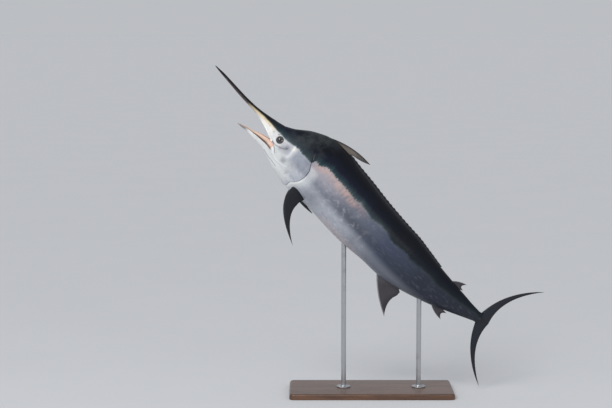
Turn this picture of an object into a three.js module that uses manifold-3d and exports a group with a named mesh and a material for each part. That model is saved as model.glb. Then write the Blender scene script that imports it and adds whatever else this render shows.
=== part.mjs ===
// A black marlin at life size, leaping with its head up and its mouth open, held up by a
// plain display stand. Millimetres, +Z up, head towards -X, left flank towards -Y.
import * as THREE from "three";
import { mergeVertices } from "three/addons/utils/BufferGeometryUtils.js";
import Module from "manifold-3d";

const wasm = await Module();
wasm.setup();

// Size and pose of the fish. Places along the body are fractions of FORK_LENGTH: 0 is the
// tip of the closed lower jaw, 1 the fork of the tail. Levels are millimetres above the axis.
const FORK_LENGTH = 2800;
const GAP = 0.3;
const SEAM_CLEANING = 0.05;
const EYE_PLACE = 0.13;
const EYE_ABOVE_FLOOR = 2259;
const AXIS_SLOPE = 48.1;
const TAIL_LIFT = 14;
const TAIL_LIFT_FROM = 0.58;
const TAIL_LIFT_TO = 0.85;
const TAIL_SWING = 7;
const TAIL_SWING_FROM = 0.6;

// Places where the body is divided.
const MOUTH_CORNER = 0.112;
const HEAD_END = 0.2665;
const TORSO_MIDDLE = 0.45;
const TORSO_END = 0.63;
const TAIL_BASE_END = 0.82;
const TAIL_FIN_ROOT = 0.968;

// Outline of head and body: place, level of the back, level of the belly, level of the
// widest line and half width.
const BODY = [
  [0.112, 35, -245, -105, 82],
  [0.124, 54, -251, -102, 93],
  [0.137, 78, -262, -94, 103],
  [0.151, 112, -272, -84, 114],
  [0.173, 166, -287, -66, 129],
  [0.198, 211, -296, -47, 144],
  [0.223, 248, -305, -34, 156],
  [0.26, 275, -312, -22, 170],
  [0.3, 280, -300, -15, 180],
  [0.35, 271, -287, -10, 186],
  [0.42, 262, -287, -6, 184],
  [0.47, 252, -283, -4, 177],
  [0.52, 246, -268, -2, 167],
  [0.58, 243, -245, 0, 152],
  [0.63, 243, -236, 0, 138],
  [0.7, 221, -203, 0, 115],
  [0.76, 186, -167, 0, 93],
  [0.82, 145, -134, 0, 72],
  [0.88, 101, -97, 0, 50],
  [0.92, 70, -71, 0, 36],
  [0.945, 54, -55, 0, 29],
  [0.956, 48, -49, 0, 26],
  [0.968, 55, -55, 0, 22],
];
const FLANK_FULLNESS = 0.88;
const BACK_RIDGE = [[0.112, 0.05], [0.16, 0.2], [0.26, 0.3], [0.45, 0.22], [0.7, 0.12], [0.968, 0.05]];
const BODY_COLUMNS = 44;
const BODY_RINGS = { torsoFront: 11, torsoRear: 9, tailBase: 10, tailStalk: 13, whole: 90 };

// Upper jaw and bill: place, level of the top, level of the lip, level of the widest line,
// half width, level of the underside as it would close without a mouth, rise of the palate.
const BILL = [
  [-0.168, -62, -67, -64.5, 3.5, -68, -1],
  [-0.155, -58, -71, -64, 8, -72, -1],
  [-0.134, -52, -73, -63, 12, -75, -2],
  [-0.1, -50, -75, -63, 14.5, -78, -3],
  [-0.05, -48.5, -79, -64, 18, -82, -3],
  [0, -40, -78, -60, 23.5, -82, -2],
  [0.03, -27, -82, -57, 31, -88, 1],
  [0.055, -11, -93, -55, 42, -108, 7],
  [0.075, 3, -105, -64, 53, -140, 15],
  [0.094, 17, -122, -82, 67, -190, 23],
  [0.112, 35, -138, -105, 82, -245, 30],
];
const BILL_COLUMNS = 24;
const PALATE_COLUMNS = 6;
const BILL_RINGS = 22;
const BILL_RINGS_CROWD = 1.15;
const BILL_POINT = 0.0015;
const LIP_ROLL = 3;

// Lower jaw: place, level of the gum's edge, level of the lip, level of the chin's
// underside, half width at the lip, level of the mouth's floor.
const JAW = [
  [0.007, -248, -250, -255, 4, -250],
  [0.02, -233, -235, -253, 12, -240],
  [0.037, -214, -219, -245, 20, -226],
  [0.057, -196, -210, -244, 31, -218],
  [0.075, -172, -202, -244, 42, -213],
  [0.094, -154, -195, -244, 55, -209],
  [0.112, -140, -187, -245, 68, -206],
];
const JAW_COLUMNS = 12;
const JAW_RINGS = 12;
const LINING_WIDTH = 0.8;
const GUM_SHARPNESS = 2.5;

// Eye, nostrils and mouth.
const EYE_LEVEL = -76;
const EYE_RADIUS = 37;
const EYE_BULGE = 20;
const EYE_SINK = 6;
const NOSTRILS = [[0.1138, -54, 3.5], [0.1165, -46, 4.5]];
const THROAT = { place: 0.112, level: -168, length: 118, height: 40, width: 46 };

// Gill cover: place of its rear edge, and of the bone in front of it, by the angle round the
// body, where 0 is the widest line and 90 the back.
const GILL_EDGE = [
  [-90, 0.236], [-70, 0.244], [-54, 0.243], [-42, 0.253], [-32, 0.2595], [-21, 0.2615],
  [-9, 0.258], [0, 0.248], [10, 0.237], [25, 0.229], [90, 0.226],
];
const CHEEK_EDGE = [
  [-90, 0.15], [-50, 0.157], [-42, 0.172], [-38, 0.195], [-33, 0.204], [-16, 0.191],
  [-5, 0.184], [10, 0.181], [25, 0.173], [90, 0.166],
];
const GILL_COVER_LIFT = 5;
const CHEEK_LIFT = 4;
const GILL_SLIT_DEPTH = 13;
const GILL_SLIT_WIDTH = 8;
const GILL_SLIT_TOP = 22;
const CHEEK_LOW = -52;
const HEAD_COLUMNS = 44;
const HEAD_RINGS_CHEEK = 14;
const HEAD_RINGS_COVER = 10;

// Paired keels beside the root of the tail.
const KEEL = { from: 0.915, to: 0.995, angle: 17, spread: 7, height: 11 };

// Display stand, which lies under the middle of the fish's weight. Lengths run from the eye.
const BASE = { left: 22, right: 1442, halfWidth: 320, thickness: 50, corner: 40, bevel: 4 };
const ROD_PLACES = { front: 492, rear: 1144 };
const ROD_RADIUS = 21;
const ROD_REACH = 1659;
const ROD_FLANGE = { radius: 60, thickness: 12 };

/** Straight blend from a to b. */
function mix(a, b, part) {
  return a + (b - a) * part;
}

/** Rises smoothly from 0 at a to 1 at b. */
function ease(a, b, x) {
  const part = Math.min(1, Math.max(0, (x - a) / (b - a)));
  return part * part * (3 - 2 * part);
}

function radians(degrees) {
  return (degrees * Math.PI) / 180;
}

/** A smooth curve through rows of numbers: the first column is the place, and the curve
 *  gives column `column`. Its slopes never overshoot the rows. */
function curve(rows, column = 1) {
  const x = rows.map((row) => row[0]);
  const y = rows.map((row) => row[column]);
  const rise = x.slice(1).map((_, i) => (y[i + 1] - y[i]) / (x[i + 1] - x[i]));
  const slope = x.map((_, i) => {
    if (i === 0) return rise[0];
    if (i === x.length - 1) return rise[i - 1];
    if (rise[i - 1] * rise[i] <= 0) return 0;
    return (2 * rise[i - 1] * rise[i]) / (rise[i - 1] + rise[i]);
  });
  return (place) => {
    const at = Math.min(x[x.length - 1], Math.max(x[0], place));
    let i = 0;
    while (i < x.length - 2 && at > x[i + 1]) i += 1;
    const span = x[i + 1] - x[i];
    const p = (at - x[i]) / span;
    const q = 1 - p;
    return (
      y[i] * (1 + 2 * p) * q * q + slope[i] * span * p * q * q +
      y[i + 1] * (1 + 2 * q) * p * p - slope[i + 1] * span * q * p * p
    );
  };
}

const bodyTop = curve(BODY, 1);
const bodyBottom = curve(BODY, 2);
const bodyWidest = curve(BODY, 3);
const bodyHalfWidth = curve(BODY, 4);
const backRidge = curve(BACK_RIDGE);
const gillEdge = curve(GILL_EDGE);
const cheekEdge = curve(CHEEK_EDGE);

// The axis of the body as a row of points with their directions. It is straight to the
// middle of the trunk, then lifts and swings gently towards the tail.
const AXIS_FIRST = -0.2;
const AXIS_STEPS = 1400;
const AXIS_STEP = 0.001;

/** Direction along the body, direction of the back and direction of the right flank. */
function directions(place) {
  const slope = radians(AXIS_SLOPE - TAIL_LIFT * ease(TAIL_LIFT_FROM, TAIL_LIFT_TO, place));
  const swing = radians(TAIL_SWING * ease(TAIL_SWING_FROM, 1, place));
  const along = new THREE.Vector3(
    Math.cos(slope) * Math.cos(swing), Math.sin(swing), -Math.sin(slope) * Math.cos(swing));
  const back = new THREE.Vector3(Math.sin(slope), 0, Math.cos(slope));
  const side = new THREE.Vector3().crossVectors(back, along);
  return { along, back, side };
}

const axis = [new THREE.Vector3()];
for (let i = 1; i <= AXIS_STEPS; i += 1) {
  const { along } = directions(AXIS_FIRST + (i - 0.5) * AXIS_STEP);
  axis.push(axis[i - 1].clone().addScaledVector(along, AXIS_STEP * FORK_LENGTH));
}

function axisPoint(place) {
  const at = (place - AXIS_FIRST) / AXIS_STEP;
  const i = Math.min(AXIS_STEPS - 1, Math.floor(at));
  return new THREE.Vector3().lerpVectors(axis[i], axis[i + 1], at - i);
}

const EYE_ORIGIN = axisPoint(EYE_PLACE);

/** Puts a point given by place, level and side offset where it lies in the room. */
function put([place, level, aside]) {
  const { back, side } = directions(place);
  const point = axisPoint(place).sub(EYE_ORIGIN);
  point.addScaledVector(back, level).addScaledVector(side, aside);
  point.z += EYE_ABOVE_FLOOR;
  return point;
}

/** How far the keels stand out at a place and an angle round the body. */
function keelHeight(place, angle) {
  const run = ease(KEEL.from, mix(KEEL.from, KEEL.to, 0.5), place);
  const off = (Math.abs(angle) - radians(KEEL.angle)) / radians(KEEL.spread);
  return KEEL.height * run * Math.exp(-off * off);
}

/** A point of the body's skin: the section is an oval with fuller flanks and a narrower
 *  back. The angle runs from 0 at the widest line to 90 degrees at the back. */
function bodyPoint(place, angle, rightSide, grow = 0) {
  const up = Math.sin(angle);
  const widest = bodyWidest(place);
  const reach = up > 0 ? bodyTop(place) + grow - widest : widest - bodyBottom(place) + grow;
  const narrow = 1 - backRidge(place) * Math.max(0, up) ** 2;
  const half = (bodyHalfWidth(place) + grow) * Math.abs(Math.cos(angle)) ** FLANK_FULLNESS * narrow;
  const aside = half + (Math.abs(up) < 0.999 ? keelHeight(place, angle) : 0);
  return [place, widest + reach * up, rightSide * (Math.abs(up) < 0.9999 ? aside : 0)];
}

/** Angle and side of one column of a ring that starts at the belly. */
function columnAngle(column, columns) {
  const turn = -90 + (360 * column) / columns;
  if (turn <= 90) return { angle: radians(turn), rightSide: 1 };
  return { angle: radians(180 - turn), rightSide: -1 };
}

/** Closed geometry from corner points and triangles, with its faces turned outward. */
function closedGeometry(points, triangles) {
  let volume = 0;
  for (const [a, b, c] of triangles) {
    volume += points[a].dot(new THREE.Vector3().crossVectors(points[b], points[c]));
  }
  const index = triangles.flatMap(([a, b, c]) => (volume > 0 ? [a, b, c] : [a, c, b]));
  const geometry = new THREE.BufferGeometry();
  geometry.setAttribute("position", new THREE.Float32BufferAttribute(
    points.flatMap((point) => [point.x, point.y, point.z]), 3));
  geometry.setIndex(index);
  return geometry;
}

/** A closed body from rings of points. Each end closes in a fan round its middle point. */
function tube(rings, firstMiddle, lastMiddle) {
  const columns = rings[0].length;
  const points = rings.flat().map(put);
  const triangles = [];
  for (let i = 0; i < rings.length - 1; i += 1) {
    for (let j = 0; j < columns; j += 1) {
      const a = i * columns + j;
      const b = i * columns + ((j + 1) % columns);
      triangles.push([a, b, b + columns], [a, b + columns, a + columns]);
    }
  }
  const last = (rings.length - 1) * columns;
  points.push(put(firstMiddle), put(lastMiddle));
  for (let j = 0; j < columns; j += 1) {
    const k = (j + 1) % columns;
    triangles.push([points.length - 2, k, j], [points.length - 1, last + j, last + k]);
  }
  return closedGeometry(points, triangles);
}

/** A closed sheet from two like grids of points, one for each face, both split alike, with
 *  a strip round the edge. */
function sheet(front, back) {
  const rows = front.length;
  const columns = front[0].length;
  const points = [...front.flat(), ...back.flat()];
  const size = rows * columns;
  const triangles = [];
  for (let i = 0; i < rows - 1; i += 1) {
    for (let j = 0; j < columns - 1; j += 1) {
      const a = i * columns + j;
      const c = a + columns;
      triangles.push([a, a + 1, c + 1], [a, c + 1, c]);
      triangles.push([size + a, size + c + 1, size + a + 1], [size + a, size + c, size + c + 1]);
    }
  }
  const rim = [];
  for (let j = 0; j < columns - 1; j += 1) rim.push(j);
  for (let i = 0; i < rows - 1; i += 1) rim.push(i * columns + columns - 1);
  for (let j = columns - 1; j > 0; j -= 1) rim.push((rows - 1) * columns + j);
  for (let i = rows - 1; i > 0; i -= 1) rim.push(i * columns);
  rim.forEach((a, k) => {
    const b = rim[(k + 1) % rim.length];
    triangles.push([a, size + a, b], [b, size + a, size + b]);
  });
  return closedGeometry(points, triangles);
}

/** The solid of a closed geometry, for joining and cutting. */
function toSolid(geometry) {
  const bare = geometry.clone();
  bare.deleteAttribute("normal");
  bare.deleteAttribute("uv");
  const merged = mergeVertices(bare, 1e-3);
  return new wasm.Manifold(new wasm.Mesh({
    numProp: 3,
    vertProperties: Float32Array.from(merged.attributes.position.array),
    triVerts: Uint32Array.from(merged.index.array),
  }));
}

/** The geometry of a solid's largest closed surface, without the slivers that a cut leaves. */
function toGeometry(solid) {
  const pieces = solid.decompose().sort((a, b) => b.volume() - a.volume());
  const mesh = pieces[0].asOriginal().simplify(SEAM_CLEANING).getMesh();
  const geometry = new THREE.BufferGeometry();
  geometry.setAttribute("position", new THREE.Float32BufferAttribute(mesh.vertProperties, 3));
  geometry.setIndex(Array.from(mesh.triVerts));
  return geometry;
}

/** A length of the body between two places, cut square to the axis, with its skin moved
 *  outward by `grow`. */
function bodyLength(from, to, rings, grow = 0) {
  const half = GAP / 2 / FORK_LENGTH;
  const list = [];
  for (let i = 0; i <= rings; i += 1) {
    const place = mix(from + half, to - half, i / rings);
    const ring = [];
    for (let j = 0; j < BODY_COLUMNS; j += 1) {
      const { angle, rightSide } = columnAngle(j, BODY_COLUMNS);
      ring.push(bodyPoint(place, angle, rightSide, grow));
    }
    list.push(ring);
  }
  return tube(list, [from + half, bodyWidest(from), 0], [to - half, bodyWidest(to), 0]);
}

/** Upper jaw with the bill: an oval above the lip and a palate below it. */
function billGeometry() {
  const [top, lip, widest, half, under, rise] = [1, 2, 3, 4, 5, 6].map((k) => curve(BILL, k));
  const tip = BILL[0][0];
  const end = MOUTH_CORNER - GAP / 2 / FORK_LENGTH;
  const outer = BILL_COLUMNS - PALATE_COLUMNS;
  const rings = [];
  for (let i = 0; i <= BILL_RINGS; i += 1) {
    const place = mix(tip, end, 1 - (1 - i / BILL_RINGS) ** BILL_RINGS_CROWD);
    const lipAngle = Math.asin((widest(place) - lip(place)) / (widest(place) - under(place)));
    const ring = [];
    for (let j = 0; j <= outer; j += 1) {
      const turn = mix(-lipAngle, Math.PI + lipAngle, j / outer);
      const up = Math.sin(turn);
      const reach = up > 0 ? top(place) - widest(place) : widest(place) - under(place);
      const atLip = j === 0 || j === outer ? LIP_ROLL * ease(0, 0.06, place) : 0;
      const aside = half(place) * Math.sign(Math.cos(turn)) * Math.abs(Math.cos(turn)) ** FLANK_FULLNESS;
      ring.push([place, widest(place) + reach * up, aside + Math.sign(aside) * atLip]);
    }
    const lipAside = ring[outer][2];
    for (let j = 1; j < PALATE_COLUMNS; j += 1) {
      const across = mix(-1, 1, j / PALATE_COLUMNS);
      const arch = rise(place) * (1 - across * across);
      ring.push([place, lip(place) + arch, -lipAside * across]);
    }
    rings.push(ring);
  }
  return tube(rings, [tip - BILL_POINT, widest(tip), 0], [end, widest(end), 0]);
}

/** Lower jaw: a chin below the lip, a groove, the gum's edge and the floor of the mouth. */
function lowerJawGeometry() {
  const [gum, lip, under, half, floor] = [1, 2, 3, 4, 5].map((k) => curve(JAW, k));
  const tip = JAW[0][0];
  const end = MOUTH_CORNER - GAP / 2 / FORK_LENGTH;
  const outer = [];
  const inner = [];
  for (let i = 0; i <= JAW_RINGS; i += 1) {
    const place = mix(tip, end, i / JAW_RINGS);
    const outerRow = [];
    const innerRow = [];
    for (let j = 0; j <= JAW_COLUMNS; j += 1) {
      const turn = Math.PI * (j / JAW_COLUMNS);
      const across = Math.cos(turn);
      const down = Math.sin(turn);
      const skin = [place, mix(lip(place), under(place), down), half(place) * across];
      const edge = Math.abs(across) ** GUM_SHARPNESS;
      const liningHalf = LINING_WIDTH * half(place);
      const lining = [place, mix(floor(place), gum(place), edge), liningHalf * across];
      outerRow.push(put(skin));
      innerRow.push(put(lining));
    }
    outer.push(outerRow);
    inner.push(innerRow);
  }
  return sheet(outer, inner);
}

/** Outward direction of the body's skin. */
function skinNormal(place, angle, rightSide) {
  const step = 0.001;
  const ahead = put(bodyPoint(place + step, angle, rightSide));
  const behind = put(bodyPoint(place - step, angle, rightSide));
  const over = put(bodyPoint(place, angle + step, rightSide));
  const below = put(bodyPoint(place, angle - step, rightSide));
  const normal = new THREE.Vector3().crossVectors(ahead.sub(behind), over.sub(below));
  return normal.normalize().multiplyScalar(normal.y * rightSide > 0 ? 1 : -1);
}

/** Angle round the body at which a level lies. */
function angleAtLevel(place, level) {
  const widest = bodyWidest(place);
  const reach = level > widest ? bodyTop(place) - widest : widest - bodyBottom(place);
  return Math.asin((level - widest) / reach);
}

/** Centre and turn of an eye that lies in the skin. */
function eyeSeat(rightSide) {
  const angle = angleAtLevel(EYE_PLACE, EYE_LEVEL);
  const normal = skinNormal(EYE_PLACE, angle, rightSide);
  const centre = put(bodyPoint(EYE_PLACE, angle, rightSide)).addScaledVector(normal, -EYE_SINK);
  const turn = new THREE.Quaternion().setFromUnitVectors(new THREE.Vector3(0, 1, 0), normal);
  return { centre, turn };
}

/** A ball drawn out to three radii, turned and placed. */
function ball(radii, centre, turn, across = 16, along = 10) {
  const geometry = new THREE.SphereGeometry(1, across, along);
  geometry.scale(...radii);
  geometry.applyQuaternion(turn);
  geometry.translate(centre.x, centre.y, centre.z);
  return geometry;
}

/** The head's skin: rings lie along the edges of the cheek and of the gill cover, which
 *  stand a little above the skin behind them, and the slit of the gill runs behind the cover. */
function headSkin(grow) {
  const first = MOUTH_CORNER + GAP / 2 / FORK_LENGTH;
  const end = HEAD_END - GAP / 2 / FORK_LENGTH;
  const slit = GILL_SLIT_WIDTH / FORK_LENGTH;
  const rings = [];
  const ringAt = (placeOf, liftOf) => {
    const ring = [];
    for (let j = 0; j < HEAD_COLUMNS; j += 1) {
      const { angle, rightSide } = columnAngle(j, HEAD_COLUMNS);
      const place = placeOf(angle);
      const shown = 1 - ease(radians(GILL_SLIT_TOP - 14), radians(GILL_SLIT_TOP), angle);
      ring.push(bodyPoint(place, angle, rightSide, grow + liftOf(place, angle) * shown));
    }
    rings.push(ring);
  };
  const degrees = (angle) => (angle * 180) / Math.PI;
  const cheekLift = (place, angle) => CHEEK_LIFT * ease(first, first + 0.03, place)
    * ease(radians(CHEEK_LOW), radians(CHEEK_LOW + 12), angle);
  for (let i = 0; i < HEAD_RINGS_CHEEK; i += 1) {
    ringAt((angle) => mix(first, cheekEdge(degrees(angle)), i / HEAD_RINGS_CHEEK), cheekLift);
  }
  ringAt((angle) => cheekEdge(degrees(angle)), cheekLift);
  for (let i = 0; i <= HEAD_RINGS_COVER; i += 1) {
    const part = i / HEAD_RINGS_COVER;
    ringAt((angle) => mix(cheekEdge(degrees(angle)) + slit / 2, gillEdge(degrees(angle)), part),
      () => GILL_COVER_LIFT * part);
  }
  ringAt((angle) => gillEdge(degrees(angle)) + slit * 0.12, () => -GILL_SLIT_DEPTH);
  ringAt((angle) => gillEdge(degrees(angle)) + slit * 0.5, () => -GILL_SLIT_DEPTH);
  ringAt((angle) => gillEdge(degrees(angle)) + slit, () => 0);
  ringAt(() => end, () => 0);
  return tube(rings, [first, bodyWidest(first), 0], [end, bodyWidest(end), 0]);
}

/** Head: the skin with the throat, the eye sockets and the nostrils cut into it. */
function headGeometry() {
  let head = toSolid(headSkin(0));
  const throatCentre = put([THROAT.place, THROAT.level, 0]);
  const lean = new THREE.Quaternion().setFromAxisAngle(
    new THREE.Vector3(0, 1, 0), radians(AXIS_SLOPE));
  head = head.subtract(toSolid(
    ball([THROAT.length, THROAT.width, THROAT.height], throatCentre, lean)));
  for (const rightSide of [-1, 1]) {
    const { centre, turn } = eyeSeat(rightSide);
    const socket = [EYE_RADIUS + GAP, EYE_BULGE + GAP, EYE_RADIUS + GAP];
    head = head.subtract(toSolid(ball(socket, centre, turn)));
    for (const [place, level, radius] of NOSTRILS) {
      const hole = put(bodyPoint(place, angleAtLevel(place, level), rightSide));
      head = head.subtract(toSolid(ball([radius, radius, radius], hole, turn, 8, 6)));
    }
  }
  return toGeometry(head);
}

/** A point on the curve from a to b whose middle is pushed aside by bow. */
function bowed(a, b, bow, part) {
  return a.map((value, k) => mix(value, b[k], part) + 4 * part * (1 - part) * bow[k]);
}

/** A fin as a sheet over a fan of rays. The first ray is the leading edge, from front to
 *  tip, and the others end along the trailing edge, from the tip to the heel. Each ray is a
 *  ridge raised in both faces, and the fin thins towards its trailing edge. */
function finGeometry(fin) {
  const columns = 2 * fin.rays;
  const nodes = [];
  for (let i = 0; i <= columns; i += 1) {
    const u = i / columns;
    const foot = fin.front.map((value, k) => mix(value, fin.rear[k], u));
    const end = bowed(fin.tip, fin.heel, fin.hollow, u ** fin.crowd);
    const bow = fin.bow.map((value) => value * (1 - u) ** 1.3);
    const row = [];
    for (let j = 0; j <= fin.steps; j += 1) row.push(bowed(foot, end, bow, j / fin.steps));
    nodes.push(row);
  }
  const middle = nodes.map((row) => row.map(put));
  const faces = [[], []];
  for (let i = 0; i <= columns; i += 1) {
    const rows = [[], []];
    for (let j = 0; j <= fin.steps; j += 1) {
      const u = i / columns;
      const v = j / fin.steps;
      const across = middle[Math.min(columns, i + 1)][j].clone().sub(middle[Math.max(0, i - 1)][j]);
      const along = middle[i][Math.min(fin.steps, j + 1)].clone().sub(middle[i][Math.max(0, j - 1)]);
      const normal = across.cross(along).normalize();
      const ridge = i % 2 === 0 ? fin.ridge * (1 - 0.7 * v) : 0;
      const blade = mix(fin.thick, fin.thin, Math.min(1, 1.15 * Math.max(v, u * 0.8)));
      const root = fin.rootHalf ? fin.rootHalf(nodes[i][j]) * (1 - ease(0, fin.rootRun, v)) : 0;
      const half = Math.max(blade / 2 + ridge, root);
      rows[0].push(middle[i][j].clone().addScaledVector(normal, half));
      rows[1].push(middle[i][j].clone().addScaledVector(normal, -half));
    }
    faces[0].push(rows[0]);
    faces[1].push(rows[1]);
  }
  return sheet(faces[0], faces[1]);
}

/** The low rear part of the first dorsal fin, its short rays laid back along the back. */
function dorsalRearGeometry(fin) {
  const columns = 2 * fin.rays;
  const height = curve(fin.heights);
  const faces = [[], []];
  for (let i = 0; i <= columns; i += 1) {
    const place = mix(fin.from, fin.to, i / columns);
    const onRay = i % 2 === 0;
    const rows = [[], []];
    for (let j = 0; j <= fin.steps; j += 1) {
      const v = j / fin.steps;
      const tall = height(place) * (onRay ? 1 : 0.8);
      const level = bodyTop(place) + mix(-fin.sink, tall, v);
      const laid = place + (fin.laid / FORK_LENGTH) * Math.max(0, v - 0.3);
      const half = mix(fin.thick, fin.thin, v) / 2 + (onRay ? fin.ridge : 0);
      rows[0].push(put([laid, level, half]));
      rows[1].push(put([laid, level, -half]));
    }
    faces[0].push(rows[0]);
    faces[1].push(rows[1]);
  }
  return sheet(faces[0], faces[1]);
}

const FIRST_DORSAL_LOBE = {
  rays: 8, steps: 9, thick: 15, thin: 3, ridge: 1.6, crowd: 1,
  front: [0.206, 226, 0], rear: [0.298, 262, 0], tip: [0.3736, 354, 0], heel: [0.3065, 291, 0],
  bow: [-0.001, 40, 0], hollow: [0.004, -8, 0],
};
const FIRST_DORSAL_REAR = {
  from: 0.3095, to: 0.765, rays: 22, steps: 2, sink: 12, laid: 26, thick: 9, thin: 3, ridge: 1.2,
  heights: [[0.3, 13], [0.4, 15], [0.6, 14], [0.765, 7]],
};
const SECOND_DORSAL = {
  rays: 6, steps: 4, thick: 9, thin: 2, ridge: 1.1, crowd: 1,
  front: [0.815, 120, 0], rear: [0.842, 104, 0], tip: [0.872, 182, 0], heel: [0.873, 122, 0],
  bow: [-0.002, 14, 0], hollow: [-0.012, -8, 0],
};
const FIRST_ANAL = {
  rays: 9, steps: 7, thick: 13, thin: 3, ridge: 1.5, crowd: 1,
  front: [0.625, -215, 0], rear: [0.7, -182, 0], tip: [0.731, -464, 0], heel: [0.726, -226, 0],
  bow: [-0.003, -8, 0], hollow: [-0.014, 14, 0],
};
const SECOND_ANAL = {
  rays: 6, steps: 4, thick: 9, thin: 2, ridge: 1.1, crowd: 1,
  front: [0.808, -124, 0], rear: [0.838, -106, 0], tip: [0.866, -196, 0], heel: [0.87, -124, 0],
  bow: [-0.002, -14, 0], hollow: [-0.012, 8, 0],
};

/** Half thickness of the tail fin's root, the same as the end of the body it grows from. */
function tailRootHalf([, level]) {
  const part = Math.min(1, Math.abs(level) / bodyTop(TAIL_FIN_ROOT));
  const angle = Math.asin(part);
  return bodyHalfWidth(TAIL_FIN_ROOT) * Math.cos(angle) ** FLANK_FULLNESS
    + keelHeight(TAIL_FIN_ROOT, angle);
}

/** One lobe of the tail fin; up is 1 for the upper lobe and -1 for the lower. */
function tailLobe(up) {
  const root = TAIL_FIN_ROOT + GAP / 2 / FORK_LENGTH;
  return finGeometry({
    rays: 8, steps: 10, thick: 11, thin: 2.4, ridge: 1.3, crowd: 0.9,
    front: [root, up * 54, 0], rear: [root, up * (GAP / 2), 0],
    tip: [1.092, up * 505, 0], heel: [1, up * (GAP / 2), 0],
    bow: [-0.0165, up * 34, 0], hollow: [-0.031, up * 4, 0],
    rootHalf: tailRootHalf, rootRun: 0.2,
  });
}

// The right pectoral is held a little further forward and down than the left.
const RIGHT_PECTORAL_HELD = { forward: 0.009, down: 24, straighter: 0.009 };

/** A pectoral fin: rigid, curved like a sickle, standing out and down from the flank. */
function pectoral(rightSide) {
  const straight = { forward: 0, down: 0, straighter: 0 };
  const { forward, down, straighter } = rightSide > 0 ? RIGHT_PECTORAL_HELD : straight;
  return finGeometry({
    rays: 8, steps: 9, thick: 20, thin: 3.5, ridge: 1.6, crowd: 0.85,
    front: [0.268, -232, 60 * rightSide], rear: [0.316, -250, 74 * rightSide],
    tip: [0.387 - forward, -572 - down, 432 * rightSide],
    heel: [0.3135, -296, 126 * rightSide],
    bow: [straighter - 0.044, -20, 6 * rightSide], hollow: [-0.027, -4, 0],
  });
}

/** A pelvic fin: a slim filament laid back along the belly. */
function pelvic(rightSide) {
  return finGeometry({
    rays: 2, steps: 6, thick: 9, thin: 3, ridge: 1.2, crowd: 1,
    front: [0.272, -300, 22 * rightSide], rear: [0.28, -296, 27 * rightSide],
    tip: [0.368, -296, 34 * rightSide], heel: [0.34, -293, 40 * rightSide],
    bow: [0, -14, 0], hollow: [0, 0, 0],
  });
}

/** The base: a flat slab with round corners and a small bevel. */
function baseGeometry() {
  const { left, right, halfWidth, thickness, corner, bevel } = BASE;
  const shape = new THREE.Shape();
  const inset = corner + bevel;
  const corners = [
    [right - inset, halfWidth - inset, 0], [left + inset, halfWidth - inset, 90],
    [left + inset, inset - halfWidth, 180], [right - inset, inset - halfWidth, 270],
  ];
  for (const [x, y, turn] of corners) {
    shape.absarc(x, y, corner, radians(turn), radians(turn + 90), false);
  }
  return new THREE.ExtrudeGeometry(shape, {
    depth: thickness - 2 * bevel, bevelEnabled: true, bevelThickness: bevel, bevelSize: bevel,
    bevelOffset: 0, bevelSegments: 1, curveSegments: 5, steps: 1,
  }).translate(0, 0, bevel);
}

/** A rod with a flange at its foot, long enough to reach into the body it carries. */
function rodGeometry(height) {
  const profile = [
    [0, 0], [ROD_FLANGE.radius, 0], [ROD_FLANGE.radius, ROD_FLANGE.thickness],
    [ROD_RADIUS, ROD_FLANGE.thickness], [ROD_RADIUS, height], [0, height],
  ].map(([x, y]) => new THREE.Vector2(x, y));
  return new THREE.LatheGeometry(profile, 24).rotateX(Math.PI / 2);
}

const PAINT = {
  dark: { color: 0x1b2230, roughness: 0.35, metalness: 0.0 },
  silver: { color: 0xb4bac2, roughness: 0.3, metalness: 0.1 },
  fin: { color: 0x232a38, roughness: 0.45, metalness: 0.0 },
  eye: { color: 0x11141a, roughness: 0.08, metalness: 0.0 },
  base: { color: 0x3a2a20, roughness: 0.5, metalness: 0.0 },
  rod: { color: 0xb8babd, roughness: 0.3, metalness: 1.0 },
};

const marlin = new THREE.Group();

function add(name, geometry, paint) {
  const mesh = new THREE.Mesh(geometry, new THREE.MeshStandardMaterial(PAINT[paint]));
  mesh.name = name;
  marlin.add(mesh);
  return mesh;
}

// The body grown by the gap, which is cut away from whatever grows out of the skin.
const clearance = toSolid(bodyLength(MOUTH_CORNER, TAIL_FIN_ROOT, BODY_RINGS.whole, GAP))
  .add(toSolid(headSkin(GAP)));

/** A piece that grows out of the skin, with all that lies inside the body cut away. */
function grown(geometry) {
  return toGeometry(toSolid(geometry).subtract(clearance));
}

add("bill", billGeometry(), "dark");
add("lower_jaw", lowerJawGeometry(), "silver");
add("head", headGeometry(), "silver");
add("torso_front", bodyLength(HEAD_END, TORSO_MIDDLE, BODY_RINGS.torsoFront), "silver");
add("torso_rear", bodyLength(TORSO_MIDDLE, TORSO_END, BODY_RINGS.torsoRear), "silver");
add("tail_base", bodyLength(TORSO_END, TAIL_BASE_END, BODY_RINGS.tailBase), "silver");
add("tail_stalk", bodyLength(TAIL_BASE_END, TAIL_FIN_ROOT, BODY_RINGS.tailStalk), "dark");
add("tail_fin_upper", grown(tailLobe(1)), "fin");
add("tail_fin_lower", grown(tailLobe(-1)), "fin");
add("first_dorsal_lobe", grown(finGeometry(FIRST_DORSAL_LOBE)), "fin");
add("first_dorsal_rear", grown(dorsalRearGeometry(FIRST_DORSAL_REAR)), "fin");
add("second_dorsal", grown(finGeometry(SECOND_DORSAL)), "fin");
add("first_anal", grown(finGeometry(FIRST_ANAL)), "fin");
add("second_anal", grown(finGeometry(SECOND_ANAL)), "fin");
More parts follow.
